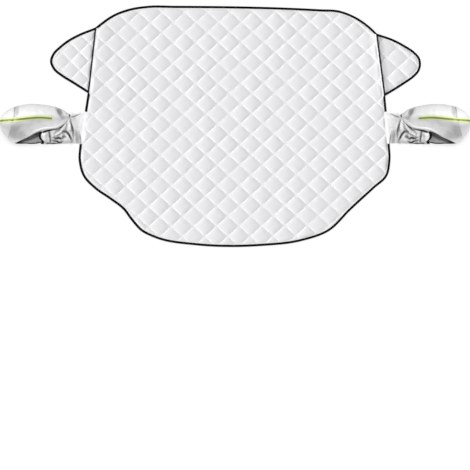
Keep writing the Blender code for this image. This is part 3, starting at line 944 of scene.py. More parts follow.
    def dress(
        self, finish: QuiltedLaminate, pieces_on_it: Sequence[Object] = ()
    ) -> Object:
        """Args:
            finish: Its finish.
            pieces_on_it: The tapes that are sewn to it; not used.

        Returns:
            The piece.
        """
        material = finish.make(f"{self.name}_laminate", self.lattice)
        piece = add_piece(self.name, self.build(), [material], Group.FLAT)
        return piece


@dataclass
class BoundEdge:
    """Black tape folded over a cut edge and sewn down with one row of stitches.

    Args:
        name: The piece's and its node's name.
        line: The tape's middle line in plan, in fine stretches, with its fold to the left.
        ground: The height under the tape.
        leaf: How far the upper leaf reaches inwards from the middle line, at each point.
        crown: How far the upper leaf bulges.
        seam: From the upper leaf's inner edge to the stitches.
        stop: The middle line of another tape that its ends are cut along, if there is one.
    """

    name: str
    line: Array
    ground: Ground
    stop: Array | None = None
    leaf: float | Array = BINDING_WIDTH / 2
    crown: float = 0.0003
    seam: float = 0.0020
    leaf_columns: int = 7
    fold_columns: int = 8
    stop_search: int = 3000  # places among which its ends are found

    def section(self) -> tuple[Array, Array, Array]:
        """The tape's outer face across the line.

        Returns:
            For each column, the place across, the share of the leaf's reach, and the height.
        """
        half, radius = BINDING_WIDTH / 2, BINDING_HEIGHT / 2
        turn = np.linspace(0, math.pi, self.fold_columns)
        share = np.linspace(0, 1, self.leaf_columns)[1:]
        across = np.concatenate([
            [-half, 0.0], half - radius + radius * np.sin(turn), (half - radius) * (1 - share)
        ])
        reach = np.concatenate([np.zeros(2 + self.fold_columns), -share])
        bulge = BINDING_HEIGHT + self.crown * np.sin(math.pi * share)
        height = np.concatenate([[0.0, 0.0], radius - radius * np.cos(turn), bulge])
        return across, reach, height

    def stopped(self, plan: Array) -> Array:
        """One column of the tape in plan, without what the other tape's place takes."""
        if self.stop is None:
            return plan
        reach = np.linspace(0, along(plan)[-1], self.stop_search)
        away = nearest_on_line(at_distances(plan, reach), self.stop)[0]
        kept = reach[away > BINDING_WIDTH / 2 + SEAM_GAP]
        return at_distances(plan, np.linspace(kept[0], kept[-1], len(plan)))

    def build(self) -> BMesh:
        """The tape, swept along its line."""
        columns = []
        for across, reach, height in zip(*self.section()):
            plan = self.stopped(offset_line(self.line, across + reach * self.leaf))
            columns.append(np.column_stack([plan, self.ground(plan) + height]))
        bm = cloth_grid(np.stack(columns, axis=1))
        give_wall(bm, TAPE, sample=0, outward=Vector((0, 0, -1)))
        return bm

    def dress(self, finish: BindingTape) -> Object:
        """Builds the tape and gives it its material."""
        across, reach, height = self.section()
        leaf = float(np.mean(self.leaf))
        width = along(np.column_stack([across + reach * leaf, height]))[-1]
        material = finish.make(f"{self.name}_tape", width - self.seam)
        return add_piece(self.name, self.build(), [material], Group.FLAT)


# The mirror bags


FOLD_LENGTH = 0.7  # the power of a fold's strength along its course
FOLD_SHARPNESS = 1.5  # the power of a sharp fold's height across its course
DARK_FULL = 1.25  # a fold's painted shade, before it is held at 1
DARK_WIDTH = 0.65  # share of a fold's width in which its painted shade falls by 1


@dataclass(frozen=True)
class Fold:
    """A fold in cloth: its course in plan as distance out and place along Y.

    Args:
        course: The places that it passes.
        height: How far it stands up, or goes down if it is negative.
        width: How far it reaches to each side.
        profile: How it falls off.
        start: Its strength at the first place, as a share.
        end: And at the last one.
        dark: How dark the painted shade along its bottom is, where its sides touch and no light
            comes in; a fold with no height is only painted shade.
    """

    course: tuple[Point, ...]
    height: float
    width: float
    profile: Profile = Profile.ROUND
    start: float = 0.3
    end: float = 0.3
    dark: float = 0.0

    def reach(self, points: Array) -> tuple[Array, Array]:
        """How far each place in plan is from the course, and the fold's strength there."""
        line = smooth_run(self.course, fineness=6)
        away, spots = nearest_on_line(points, line)
        reach = along(line)
        which = np.argmin(np.linalg.norm(spots[:, None, :] - line[None], axis=2), axis=1)
        share = reach[which] / reach[-1]
        middle = np.sin(math.pi * share) ** FOLD_LENGTH
        return away, np.maximum(middle, np.where(share < 0.5, self.start, self.end))

    def relief(self, points: Array) -> Array:
        """How far it moves the cloth at each place in plan."""
        away, strength = self.reach(points)
        near = np.clip(1 - away / self.width, 0, 1)
        if self.profile is Profile.SHARP:
            return self.height * strength * near**FOLD_SHARPNESS
        return self.height * strength * eased(near)

    def darkness(self, points: Array) -> Array:
        """How much painted shade it puts on the cloth at each place in plan."""
        away, strength = self.reach(points)
        return self.dark * strength * eased(DARK_FULL - away / (DARK_WIDTH * self.width))


def darkest(folds: Sequence[Fold], points: Array) -> Array:
    """The painted shade of the darkest of the folds at each place in plan."""
    return np.max([fold.darkness(points) for fold in folds if fold.dark], axis=0)


@dataclass(frozen=True)
class BagForm:
    """The surface of a mirror bag: sections from its tip, which its cloth is lofted over.

    Places on it are a distance out and a turn: 0 at the mouth's lower lip, 1 at the bag's rear
    edge and 2 at the upper lip. X is distance out. A section has its distance out, the places
    along Y of its rear and front edge, the heights of its crest and base, and its upper lip's
    place along Y and height.
    """

    sections: tuple[tuple[float, ...], ...] = (
        (1.1725, 0.044, -0.011, 0.062, 0.022, -0.011, 0.036),
        (1.155, 0.066, -0.044, 0.080, 0.005, -0.044, 0.023),
        (1.130, 0.083, -0.071, 0.091, 0.000, -0.071, 0.018),
        (1.108, 0.095, -0.084, 0.097, 0.000, -0.084, 0.016),
        (1.095, 0.099, -0.087, 0.099, 0.000, -0.0815, 0.020),
        (1.075, 0.104, -0.0895, 0.101, 0.000, -0.0720, 0.028),
        (1.035, 0.111, -0.0910, 0.102, 0.000, -0.0540, 0.038),
        (0.995, 0.112, -0.0905, 0.100, 0.000, -0.0335, 0.045),
        (0.960, 0.109, -0.081, 0.096, 0.000, -0.0215, 0.051),
        (0.920, 0.101, -0.066, 0.089, 0.000, -0.0160, 0.054),
        (0.885, 0.092, -0.051, 0.079, 0.000, -0.009, 0.054),
        (0.855, 0.077, -0.031, 0.066, 0.000, 0.009, 0.050),
        (0.830, 0.061, -0.011, 0.052, 0.000, 0.037, 0.043),
    )  # fmt: skip
    closed_until: float = 1.103  # the mouth starts here
    crest_share: float = 0.4
    lower_lip: float = 0.016
    lip_lean: float = 0.007  # how far the lower lip leans in over the mouth
    hem_turn: float = 0.045  # how far round the bag the lower lip's black hem reaches
    wall: float = 0.0012
    groove: Point = (0.0020, 0.006)  # depth and reach of the groove along the end seam
    end_groove: float = 0.35  # share of that depth on the end panel's side
    end_darkness: float = 0.15  # share of a fold's painted shade there
    facing_up: float = 0.35  # a normal's Z, from where folds have their full height
    rest_height: float = 0.02  # the cloth is smooth where it lies on the ground, up to this height
    # The seam's gathers: height, radians a metre along Z and along Y, and reach
    gathers: tuple[float, float, float, float] = (0.0009, 646.0, 494.0, 0.012)
    softness: tuple[Point, ...] = ((0.0022, 0.085), (0.0011, 0.032))  # height, and wave's length
    lip_relief: Point = (0.25, 0.05)  # share of all that at the upper lip, and its reach
    # The seam of the end panel: distance out for places along Y, from the rear edge
    end_seam: tuple[Point, ...] = (
        (0.112, 1.098), (0.093, 1.1005), (0.039, 1.104), (0.000, 1.1160), (-0.057, 1.1340),
        (-0.090, 1.1340),
    )  # fmt: skip
    # Each fold's dark paints shade into the cloth's colour.
    folds: tuple[Fold, ...] = (
        Fold(((0.888, 0.094), (0.870, 0.062), (0.859, 0.042)), -0.0105, 0.022, Profile.SHARP,
             start=0.4, end=0.5, dark=0.72),
        Fold(((0.871, 0.086), (0.855, 0.064), (0.842, 0.050)), 0.0045, 0.012),
        Fold(((1.090, 0.102), (1.090, 0.066), (1.097, 0.036)), -0.0035, 0.022, dark=0.28,
             start=1.0),
        # These two are mostly painted shade, wide and shallow, over the body's lower front.
        Fold(((1.100, 0.012), (1.108, -0.030), (1.118, -0.078)), -0.0020, 0.060, dark=0.40,
             start=0.3, end=1.0),
        Fold(((1.116, -0.066), (1.078, -0.052), (1.040, -0.030)), -0.0015, 0.054, dark=0.38,
             start=1.0, end=0.2),
        Fold(((1.101, 0.096), (1.1045, 0.066), (1.1055, 0.036)), -0.0015, 0.008, Profile.SHARP,
             dark=0.85, start=1.0, end=0.6),
        # The hem's roll along the upper lip
        Fold(((0.862, 0.013), (0.8935, -0.006), (0.922, -0.0115), (0.960, -0.0145),
              (0.995, -0.0275), (1.030, -0.050), (1.060, -0.065)), 0.0038, 0.0075,
             start=0.6, end=0.1),
    )  # fmt: skip
    rows: int = 230
    turns: int = 121  # columns of each half of the table

    def outline_at(self, out: Array) -> Array:
        """The interpolated rows of section values at those distances out."""
        fine = smooth_run(self.sections, fineness=16)[::-1]
        return np.stack([np.interp(out, fine[:, 0], fine[:, k]) for k in range(7)], 1)

    def section(self, row: Array) -> Array:
        """One section's points along Y and Z, from the lower lip round to the upper one."""
        out, rear, front, crest, base, lip_y, lip_z = row
        height, depth = crest - base, rear - front
        lean = self.lip_lean * min(1.0, max(0.0, (self.closed_until - out) / 0.07))
        lower = (front + lean, base + min(self.lower_lip, 0.4 * height))
        if out >= self.closed_until:
            lip_y, lower = front, (front, lip_z)
        crest_y = rear + self.crest_share * (lip_y - rear)
        # Round under the bag, at shares of its depth and height
        under = smooth_run(
            [lower, (front + 0.05 * depth - lean, base + 0.05 * height + 0.3 * lean),
             (front + 0.25 * depth, base), (rear - 0.2 * depth, base),
             (rear - 0.03 * depth, base + 0.12 * height), (rear, base + 0.4 * height)]
        )  # fmt: skip
        under[:, 1] = np.maximum(under[:, 1], base)
        shoulder = (rear + 0.22 * (crest_y - rear), base + 0.78 * height)
        slope = (0.45 * crest_y + 0.55 * lip_y, 0.32 * crest + 0.68 * lip_z + 0.1 * (crest - lip_z))
        over = smooth_run([under[-1], shoulder, (crest_y, crest), slope, (lip_y, lip_z)])
        return joined(evenly(under, self.turns), evenly(over, self.turns))

    def table(self) -> tuple[Array, Array]:
        """The form's points and its outward normals, tip first, on an even grid."""
        outs = np.linspace(self.sections[0][0], self.sections[-1][0], self.rows)
        rows = [self.section(row) for row in self.outline_at(outs)]
        points = np.stack([
            np.column_stack([np.full(len(row), out), row]) for out, row in zip(outs, rows)
        ])
        return points, grid_normals(points, self.turns + self.turns // 2)


class BagSurface:
    """A bag's form with its seams, folds and softness, for any place on it."""

    def __init__(self, form: BagForm) -> None:
        """Works out the form's table once."""
        self.form = form
        self.points, self.normals = form.table()

    def sample(self, table: Array, outs: Array, turns: Array) -> Array:
        """The table's value at each place, from the four round it."""
        tip, last = self.form.sections[0][0], self.form.sections[-1][0]
        i = np.clip((tip - outs) / (tip - last), 0, 1) * (table.shape[0] - 1)
        j = np.clip(turns / 2, 0, 1) * (table.shape[1] - 1)
        i0 = np.minimum(i.astype(int), table.shape[0] - 2)
        j0 = np.minimum(j.astype(int), table.shape[1] - 2)
        di, dj = (i - i0)[..., None], (j - j0)[..., None]
        first = table[i0, j0] * (1 - dj) + table[i0, j0 + 1] * dj
        second = table[i0 + 1, j0] * (1 - dj) + table[i0 + 1, j0 + 1] * dj
        return first * (1 - di) + second * di

    def seam_out(self, y: Array) -> Array:
        """How far out the end panel's seam is at places along Y."""
        line = smooth_run(self.form.end_seam)[::-1]
        return np.interp(y, line[:, 0], line[:, 1])

    def relief(self, base: Array, normals: Array, turns: Array) -> Array:
        """How far the cloth stands off the form at each place."""
        flat = base.reshape(-1, 3)
        plan, upper = flat[:, :2], eased(normals.reshape(-1, 3)[:, 2] / self.form.facing_up)
        away = plan[:, 0] - self.seam_out(plan[:, 1])
        body = np.where(away < 0, 1.0, self.form.end_groove)
        standing = eased(flat[:, 2] / self.form.rest_height)
        depth, reach = self.form.groove
        height = -depth * body * np.exp(-np.abs(away) / reach)
        stand, waves_up, waves_along, reach = self.form.gathers
        around = waves_up * flat[:, 2] + waves_along * plan[:, 1]
        height += stand * np.sin(around) * np.exp(-np.abs(away) / reach)
        for fold in self.form.folds:
            height += upper * fold.relief(plan)
        for seed, (stand, wavelength) in enumerate(self.form.softness, start=1):
            height += stand * grain(flat, wavelength, float(seed))
        held = np.clip(turns.reshape(-1), 0, 2)
        least, reach = self.form.lip_relief
        lip = np.clip((2 - held) / reach, 0, 1)
        height = height * standing * (least + (1 - least) * lip)
        return height.reshape(turns.shape)

    def creases(self, places: Array, turns: Array) -> Array:
        """The painted shade of the deep folds at each place, and the black of the lower lip's hem.
        """
        flat = places.reshape(-1, 3)
        rest = self.form.rest_height
        upper = eased((flat[:, 2] - rest) / rest)
        beyond = flat[:, 0] > self.seam_out(flat[:, 1])
        body = np.where(beyond, self.form.end_darkness, 1.0)
        dark = upper * body * darkest(self.form.folds, flat[:, :2])
        open_here = eased((self.form.closed_until - flat[:, 0]) / 0.01)
        hem = open_here * eased((self.form.hem_turn - turns.reshape(-1)) / 0.006)
        return np.maximum(dark, hem).reshape(places.shape[:2])

    def places(self, outs: Array, turns: Array) -> Array:
        """The cloth's outer face at each place."""
        base = self.sample(self.points, outs, turns)
        normals = self.sample(self.normals, outs, turns)
        return base + normals * self.relief(base, normals, turns)[..., None]


@dataclass
class BagSleeve:
    """The gathered sleeve between a bag's mouth and the panel's edge.

    Its rows run from the bag to the panel. The first is at the rear, and the last is the free
    edge that hangs to the ground in front of the mouth.
    """

    wall: float = 0.0008
    cut: Point = (0.23, 0.175)  # its cloth before gathering: its width, and from bag to panel
    rows: int = 150
    columns: int = 100
    lap_columns: int = 5  # of them, those on the panel
    path_points: tuple[int, int] = (60, 49)  # round the mouth's end, then along its lip
    start: float = 0.963  # where the free edge leaves the lip, as distance out
    mouth_shares: tuple[float, float] = (0.44, 0.78)  # rows round the mouth's end, then its lip
    drops: tuple[float, float] = (2.4, 1.3)  # how early the rear and the front rows come down
    drop_change: Point = (0.30, 0.25)  # down the rows, where the first changes to the second
    free_ends: Point = (0.10, 0.16)  # shares of a row, at the bag and at the panel, without folds
    landing: float = 0.009  # how far the sleeve is sewn over the panel's edge
    end_gap: float = 0.0015  # from its corners to the ends of the bindings
    # The free edge, down to the ground
    free_edge: tuple[tuple[float, float, float], ...] = (
        (0.9765, -0.0315, 0.045), (0.9820, -0.0475, 0.041), (0.9775, -0.0635, 0.034),
        (0.9660, -0.0765, 0.023), (0.9735, -0.0885, 0.0006),
    )  # fmt: skip
    pinch: Point = (0.829, 0.057)
    fan_height: float = 0.0030  # of the small pleats that fan out from the pinch
    fan_waves: Point = (3.6, 9.0)  # a radian round the pinch, and a metre out
    fan_reach: float = 0.05  # from the pinch to where they have that height
    seam_highlight_share: float = 0.35  # of the small folds' height, at the rear and near the panel
    seam_gathers: tuple[float, int] = (0.0006, 17)  # height and number along the panel's edge
    crumples: Point = (0.0026, 0.026)  # height, and length of a wave
    hem: float = 0.012  # the black elastic edge of its free end
    folds: tuple[Fold, ...] = (
        # From the pinch down along the bag's end, and the folds that fan out beside it
        Fold(((0.8265, 0.062), (0.839, 0.038), (0.856, 0.012), (0.876, -0.012), (0.893, -0.034)),
             -0.012, 0.014, Profile.SHARP, start=1.0, end=0.3, dark=1.0),
        Fold(((0.8265, 0.042), (0.8185, 0.012), (0.810, -0.022), (0.806, -0.082)),
             -0.013, 0.011, Profile.SHARP, start=0.2, end=0.6, dark=0.60),
        Fold(((0.833, 0.036), (0.846, 0.004), (0.868, -0.030)),
             -0.006, 0.006, Profile.SHARP, start=0.3, end=0.2, dark=0.40),
        Fold(((0.862, -0.026), (0.846, -0.028), (0.833, -0.040), (0.822, -0.060), (0.808, -0.080)),
             -0.016, 0.010, Profile.SHARP, start=0.6, end=0.5, dark=0.92),
        Fold(((0.858, -0.044), (0.848, -0.062)), -0.009, 0.014, dark=0.62),
        Fold(((0.793, -0.018), (0.790, -0.050), (0.788, -0.087)),
             -0.008, 0.024, start=0.1, end=1.0, dark=0.60),
        Fold(((0.7785, -0.030), (0.776, -0.052), (0.772, -0.084)),
             -0.009, 0.007, Profile.SHARP, start=0.5, end=0.8, dark=0.80),
        Fold(((0.815, 0.0445), (0.795, 0.052), (0.768, 0.0655)),
             -0.004, 0.006, Profile.SHARP, start=1.0, end=0.3, dark=0.55),
        # The crumples before the mouth
        Fold(((0.909, -0.057), (0.893, -0.062), (0.880, -0.059), (0.868, -0.063), (0.857, -0.055)),
             -0.013, 0.0095, Profile.SHARP, start=0.5, end=0.6, dark=1.0),
        Fold(((0.907, -0.079), (0.893, -0.075), (0.880, -0.082), (0.862, -0.077)),
             -0.010, 0.010, Profile.SHARP, start=0.5, end=0.5, dark=1.0),
        Fold(((0.929, -0.025), (0.9255, -0.050), (0.922, -0.080)),
             -0.012, 0.008, Profile.SHARP, start=0.8, end=0.7, dark=0.85),
        Fold(((0.957, -0.030), (0.940, -0.0245), (0.922, -0.0195), (0.8935, -0.014)),
             -0.010, 0.011, Profile.SHARP, start=1.0, end=0.8, dark=1.0),
        # Painted shade only, with no relief, over the middle of the crumples.
        Fold(((0.918, -0.044), (0.885, -0.058), (0.845, -0.082)), 0.0, 0.052, dark=0.30,
             start=0.6, end=0.8),
        Fold(((0.922, -0.0740), (0.909, -0.0700), (0.899, -0.0745)),
             -0.006, 0.006, Profile.SHARP, start=0.4, end=0.4, dark=0.90),
        # Painted shadow only, with no relief, under the sleeve's bottom edge.
        Fold(((0.940, -0.0865), (0.905, -0.0875), (0.874, -0.0865)),
             0.0, 0.008, start=0.8, end=0.2, dark=1.0),
        # What stands up between them
        Fold(((0.829, 0.046), (0.845, 0.012), (0.872, -0.024), (0.904, -0.050)), 0.012, 0.011),
        Fold(((0.826, 0.030), (0.827, -0.004), (0.829, -0.028)), 0.010, 0.009),
        Fold(((0.835, -0.052), (0.827, -0.070), (0.815, -0.086)), 0.009, 0.009),
        Fold(((0.949, -0.034), (0.9525, -0.056), (0.944, -0.080)),
             0.008, 0.015, start=0.6, end=0.6),
        Fold(((0.910, -0.030), (0.911, -0.048), (0.905, -0.070)), 0.009, 0.011),
        Fold(((0.892, -0.070), (0.872, -0.074)), 0.009, 0.006),
    )  # fmt: skip

    def starts(self, bag: BagSurface) -> tuple[Array, Array]:
        """Where the rows start.

        Args:
            bag: The bag whose mouth they leave.

        Returns:
            The places, and each row's share of the way from the rear to the free edge.
        """
        last = bag.form.sections[-1][0]
        turned, straight = self.path_points
        round_end = bag.places(np.full(turned, last), np.linspace(1.0, 2.0, turned))
        lip_outs = np.linspace(last, self.start, straight + 1)[1:]
        lip = bag.places(lip_outs, np.full(straight, 2.0))
        free = smooth_run([lip[-1], *self.free_edge])[1:]
        path = np.concatenate([round_end, lip, free])
        reach = along(path)
        knots = [0.0, reach[turned - 1], reach[turned + straight - 1], reach[-1]]
        down = np.linspace(0, 1, self.rows)
        return at_distances(path, np.interp(down, [0, *self.mouth_shares, 1], knots)), down

    def base(self, bag: BagSurface, neck: Array, ground: Ground) -> tuple[Array, Array, Array]:
        """The sleeve without folds.

        Args:
            bag: The bag.
            neck: The panel's edge under the sleeve in plan, rear end first; X is distance out.
            ground: The height under the panel.

        Returns:
            The grid of places, and each one's share down the rows and along its row.
        """
        starts, down = self.starts(bag)
        edge, sewn = offset_line(neck, CUT_EDGE + SEAM_GAP), offset_line(neck, -self.landing)
        reach = along(edge)[-1]
        spots = self.end_gap + (reach - 2 * self.end_gap) * down
        top = SHEET_TOP + SEAM_GAP
        landings, inner = (
            np.column_stack([plan, ground(plan) + top])
            for plan in (at_distances(edge, spots), at_distances(sewn, spots))
        )
        t = np.linspace(0, 1, self.columns - self.lap_columns)
        rear, front = self.drops
        drop = rear + (front - rear) * eased((down - self.drop_change[0]) / self.drop_change[1])
        fallen = 1 - (1 - t) ** drop[:, None]
        share = np.stack([np.broadcast_to(t, fallen.shape)] * 2 + [fallen], axis=2)
        rows = starts[:, None, :] + (landings - starts)[:, None, :] * share
        lap = np.linspace(0, 1, self.lap_columns + 1)[1:, None]
        laps = landings[:, None, :] + (inner - landings)[:, None, :] * lap
        across = np.concatenate([t, np.ones(self.lap_columns)])
        return np.concatenate([rows, laps], axis=1), *np.meshgrid(down, across, indexing="ij")

    def pleats(self, plan: Array, t: Array, down: Array) -> Array:
        """The small folds that fan out from the pinch, and the gathers along the seams."""
        away = plan - np.array(self.pinch)
        turn = np.arctan2(away[:, 1], away[:, 0])
        reach = np.linalg.norm(away, axis=1)
        around, out = self.fan_waves
        fan = np.column_stack([turn * around, reach * out, np.zeros(len(plan))])
        ridges = 1 - 2 * np.abs(grain(fan, 1.0, 3.0))
        loose = eased((0.01 - plan[:, 1]) / 0.05) * eased((plan[:, 0] - 0.79) / 0.03)
        slack = self.seam_highlight_share + (1 - self.seam_highlight_share) * loose
        height = self.fan_height * ridges * eased(reach / self.fan_reach) * slack
        stand, number = self.seam_gathers
        gathers = np.sin(down * 2 * math.pi * number + 2.5 * np.sin(down * 9))
        height += stand * gathers * eased((t - 0.62) / 0.3)
        stand, wavelength = self.crumples
        crumple = 1 - 2.4 * np.abs(grain(np.column_stack([plan, t * 0]), wavelength, 4.0))
        return height + slack * stand * crumple

    def creases(self, places: Array) -> Array:
        """The sleeve's painted shade in its deep folds at each place, and the black of its free
        edge's hem.
        """
        flat = places.reshape(-1, 3)
        dark = darkest(self.folds, flat[:, :2]).reshape(places.shape[:2])
        steps = np.linalg.norm(np.diff(places, axis=1), axis=2)
        reach = np.concatenate([np.zeros((self.rows, 1)), np.cumsum(steps, axis=1)], axis=1)
        down = np.linspace(0, 1, self.rows)[:, None]
        free = eased((down - self.mouth_shares[1] - 0.01) / 0.02)
        hem = free * (1 - eased((reach - self.hem) / 0.0015))
        return np.maximum(dark, hem)

    def places(self, bag: BagSurface, neck: Array, ground: Ground) -> Array:
        """The sleeve's upper face, with all of its folds."""
        base, down, t = self.base(bag, neck, ground)
        flat, down, t = base.reshape(-1, 3), down.reshape(-1), t.reshape(-1)
        plan = flat[:, :2]
        height = self.pleats(plan, t, down)
        for fold in self.folds:
            height += fold.relief(plan)
        at_bag, at_panel = self.free_ends
        free = np.minimum(eased(t / at_bag), eased((1 - t) / at_panel))
        height *= free * (1 - 0.5 * eased((down - 0.93) / 0.07))
        moved = base + grid_normals(base) * height.reshape(base.shape[:2])[:, :, None]
        floor = self.wall + SEAM_GAP
        lowest = np.where(free.reshape(base.shape[:2]) > 0, floor, base[:, :, 2])
        moved[:, :, 2] = np.maximum(moved[:, :, 2], lowest)
        return moved


@dataclass
class MirrorBag:
    """A mirror bag: its body and end panel, its sleeve, its strip and its mouth's elastic.

    Args:
        side: The side of the cover that it is on.
        surface: The bag's outer face.
        neck: The panel's edge under the sleeve, rear end first; X is distance out.
        ground: The height under the panel.
    """

    side: Side
    surface: BagSurface
    neck: Array
    ground: Ground
    sleeve: BagSleeve = field(default_factory=BagSleeve)
    body_rows: int = 130
    end_rows: int = 34
    turn_columns: int = 150
    seam_steps: int = 4
    strip_line: tuple[Point, ...] = (
        (1.1725, 0.026), (1.108, 0.030), (1.040, 0.037), (0.975, 0.042), (0.915, 0.038),
    )  # fmt: skip
    tape_rows: int = 110
    tape_search: int = 300  # turns among which a tape's places across the bag are found
    strip_width: float = 0.025
    strip_thickness: float = 0.0006
    reflector_width: float = 0.009
    reflector_thickness: float = 0.0004
    elastic_radius: float = 0.0013
    elastic_sides: int = 10
    elastic_points: int = 60
    elastic_turns: tuple[Point, ...] = ((2.0, 1.94), (0.0, 0.05))  # each lip, and a place by it
    elastic_start: float = 1.073  # how far out it goes into the mouth's narrow end
    body_cut: Point = (0.39, 0.285)  # the cloth of its body before sewing, round and along it
    end_cut: Point = (0.19, 0.13)

    @property
    def prefix(self) -> str:
        """The start of the names of this bag's pieces."""
        return self.side.prefix

    def add(
        self, name: str, bm: BMesh, materials: Sequence[Material], slot: Slot
    ) -> Object:
        """Adds one of this bag's pieces, whose node's name ends in that name."""
        return add_piece(f"{self.prefix}_{name}", bm, materials, Group[self.side.name])

    def sided(self, places: Array) -> Array:
        """Places in plan or space with X as distance out, on this bag's side of the cover."""
        return places * np.array([self.side.value, 1.0, 1.0])[: places.shape[-1]]

    def shell(self, first: Array, last: Array, rows: int, tip: bool = False) -> BMesh:
        """Part of the bag's wall, between two lines round the bag.

        Args:
            first: How far out the line nearer to the tip is at each turn.
            last: And the line nearer to the mouth.
            rows: Rows of points between them.
            tip: Whether the part closes at the bag's tip.

        Returns:
            The wall, whose inner faces have material 1.
        """
        turns = np.linspace(0, 2, self.turn_columns)
        outs = first + (last - first) * np.linspace(0, 1, rows)[:, None]
        places = self.surface.places(outs, np.tile(turns, (rows, 1)))
        if tip:
            places = np.concatenate([self.cap(places[0]), places])
        bm = cloth_grid(self.sided(places))
        creases = self.surface.creases(places, np.tile(turns, (len(places), 1)))
        give_shares(bm, "crease", creases)
        bmesh.ops.remove_doubles(bm, verts=bm.verts, dist=WELD)
        outer = len(bm.faces)
        below = Vector((0, 0, -1))
        give_wall(bm, self.surface.form.wall, sample=self.under_face(bm), outward=below)
        bm.faces.index_update()
        for face in bm.faces:
            face.material_index = int(outer <= face.index < 2 * outer)
        return bm

    @staticmethod
    def under_face(bm: BMesh) -> int:
        """The number of the face that lies lowest and flattest."""
        bm.normal_update()
        scores = [
            f.calc_center_median().z + 0.05 * (1 - abs(f.normal.z)) for f in bm.faces
        ]
        return int(np.argmin(scores))

    @staticmethod
    def cap(rim: Array, bulge: float = 0.0035, rings: int = 9) -> Array:
        """Rows that close the tip, from its middle to just inside the first section."""
        shares = np.sin(np.linspace(0, math.pi / 2, rings))[:-1, None, None]
        middle = rim.mean(axis=0)
        rows = middle + (rim - middle) * shares
        rows[:, :, 0] += bulge * np.sqrt(1 - shares[:, :, 0] ** 2)
        return rows

    def seam_outs(self) -> Array:
        """How far out the end seam is at each turn, found in steps from a place near it."""
        turns = np.linspace(0, 2, self.turn_columns)
        outs = np.full(self.turn_columns, self.surface.form.end_seam[2][1])
        for _ in range(self.seam_steps):
            spots = self.surface.sample(self.surface.points, outs, turns)
            outs = self.surface.seam_out(spots[:, 1])
        return outs

    def build_shells(
        self, outer: Sequence[Material], back: Material,
        tapes: Sequence[Object],
    ) -> None:
        """Makes the end panel and the body, butted along the seam between them.

        Args:
            outer: The outer sides' materials: the end panel's and the body's.
            back: The inner sides' material.
            tapes: The pieces that are sewn on; not used.
        """
        sections = self.surface.form.sections
        seam = self.seam_outs()
        tip, mouth = (np.full(len(seam), sections[k][0]) for k in (0, -1))
        end = self.shell(tip, seam + SEAM_GAP / 2, self.end_rows, tip=True)
        body = self.shell(seam - SEAM_GAP / 2, mouth, self.body_rows)
        for name, bm, cut, material, sewn_on in (
            ("bag_end", end, self.end_cut, outer[0], ()),
            ("bag_body", body, self.body_cut, outer[1], tapes),
        ):
            piece = self.add(name, bm, [material, back], Slot.SILVER)

    def tape(
        self, name: str, width: float, lower: float, thickness: float, columns: int,
        slot: Slot, material: Material,
    ) -> Object:
        """Makes a band of tape along the strip's line.

        Args:
            name: The end of its name.
            width: Its width.
            lower: How far its underside is off the bag.
            thickness: Its thickness.
            columns: Points across it.
            slot: Its finish's slot; not used.
            material: Its material.

        Returns:
            The piece.
        """
        rows = []
        for out, middle in evenly(smooth_run(self.strip_line), self.tape_rows).tolist():
            turns = np.linspace(1.0, 2.0, self.tape_search)
            section = self.surface.places(np.full(self.tape_search, out), turns)
            reach = along(section)
            centre = np.interp(-middle, -section[:, 1], reach)
            spots = centre + np.linspace(width / 2, -width / 2, columns)
            rows.append(self.surface.places(
                np.full(columns, out), np.interp(spots, reach, turns)
            ))
        places = np.stack(rows)
        raised = places + grid_normals(places) * (lower + thickness)
        bm = cloth_grid(self.sided(raised))
        give_wall(bm, thickness, sample=len(bm.faces) // 2, outward=Vector((0, 0, 1)))
        return self.add(name, bm, [material], slot)

    def build_sleeve(self, silver: Material) -> None:
        """Makes the gathered sleeve."""
        places = self.sleeve.places(
            self.surface, self.neck, lambda plan: self.ground(self.sided(plan))
        )
        bm = cloth_grid(self.sided(places))
        give_shares(bm, "crease", self.sleeve.creases(places))
        middle = len(bm.faces) // 2
        give_wall(bm, self.sleeve.wall, sample=middle, outward=Vector((0, 0, 1)))
        piece = self.add("bag_sleeve", bm, [silver], Slot.SILVER)

    def build_elastic(self, material: Material) -> None:
        """Makes the elastic in the hem, along the upper lip and back along the lower one."""
        form = self.surface.form
        depth = form.wall + SEAM_GAP + self.elastic_radius
        outs = np.linspace(form.sections[-1][0], self.elastic_start, self.elastic_points)
        runs = []
        for lip, inner in self.elastic_turns:
            edge = self.surface.places(outs, np.full(len(outs), lip))
            beside = self.surface.places(outs, np.full(len(outs), inner))
            normals = self.surface.sample(self.surface.normals, outs, np.full(len(outs), inner))
            runs.append((edge + beside) / 2 - normals * depth)
        path = smooth_run(np.concatenate([runs[0], runs[1][::-1]])[::4], fineness=4)
        bm = tube(self.sided(path), self.elastic_radius, self.elastic_sides)
        self.add("mouth_elastic", bm, [material], Slot.ELASTIC)

    def dress(self, finishes: "Finishes") -> None:
        """Builds the bag's pieces in their materials."""
        silver = finishes.silver.make(f"{self.prefix}_silver_cloth")
        end = finishes.end_silver.make(f"{self.prefix}_end_silver_cloth")
        back = finishes.silver_back.make(f"{self.prefix}_cloth_back")
        strip = self.tape(
            "strip", self.strip_width, SEAM_GAP, self.strip_thickness, 9, Slot.STRIP,
            finishes.strip.make(f"{self.prefix}_strip_tape"),
        )  # fmt: skip
        reflector = self.tape(
            "reflector", self.reflector_width, 2 * SEAM_GAP + self.strip_thickness,
            self.reflector_thickness, 5, Slot.REFLECTOR,
            finishes.reflector.make(f"{self.prefix}_reflector_tape"),
        )  # fmt: skip
        self.build_shells((end, silver), back, (strip, reflector))
        self.build_sleeve(finishes.pale_silver.make(f"{self.prefix}_sleeve_silver_cloth"))
        self.build_elastic(finishes.elastic.make(f"{self.prefix}_elastic_braid"))


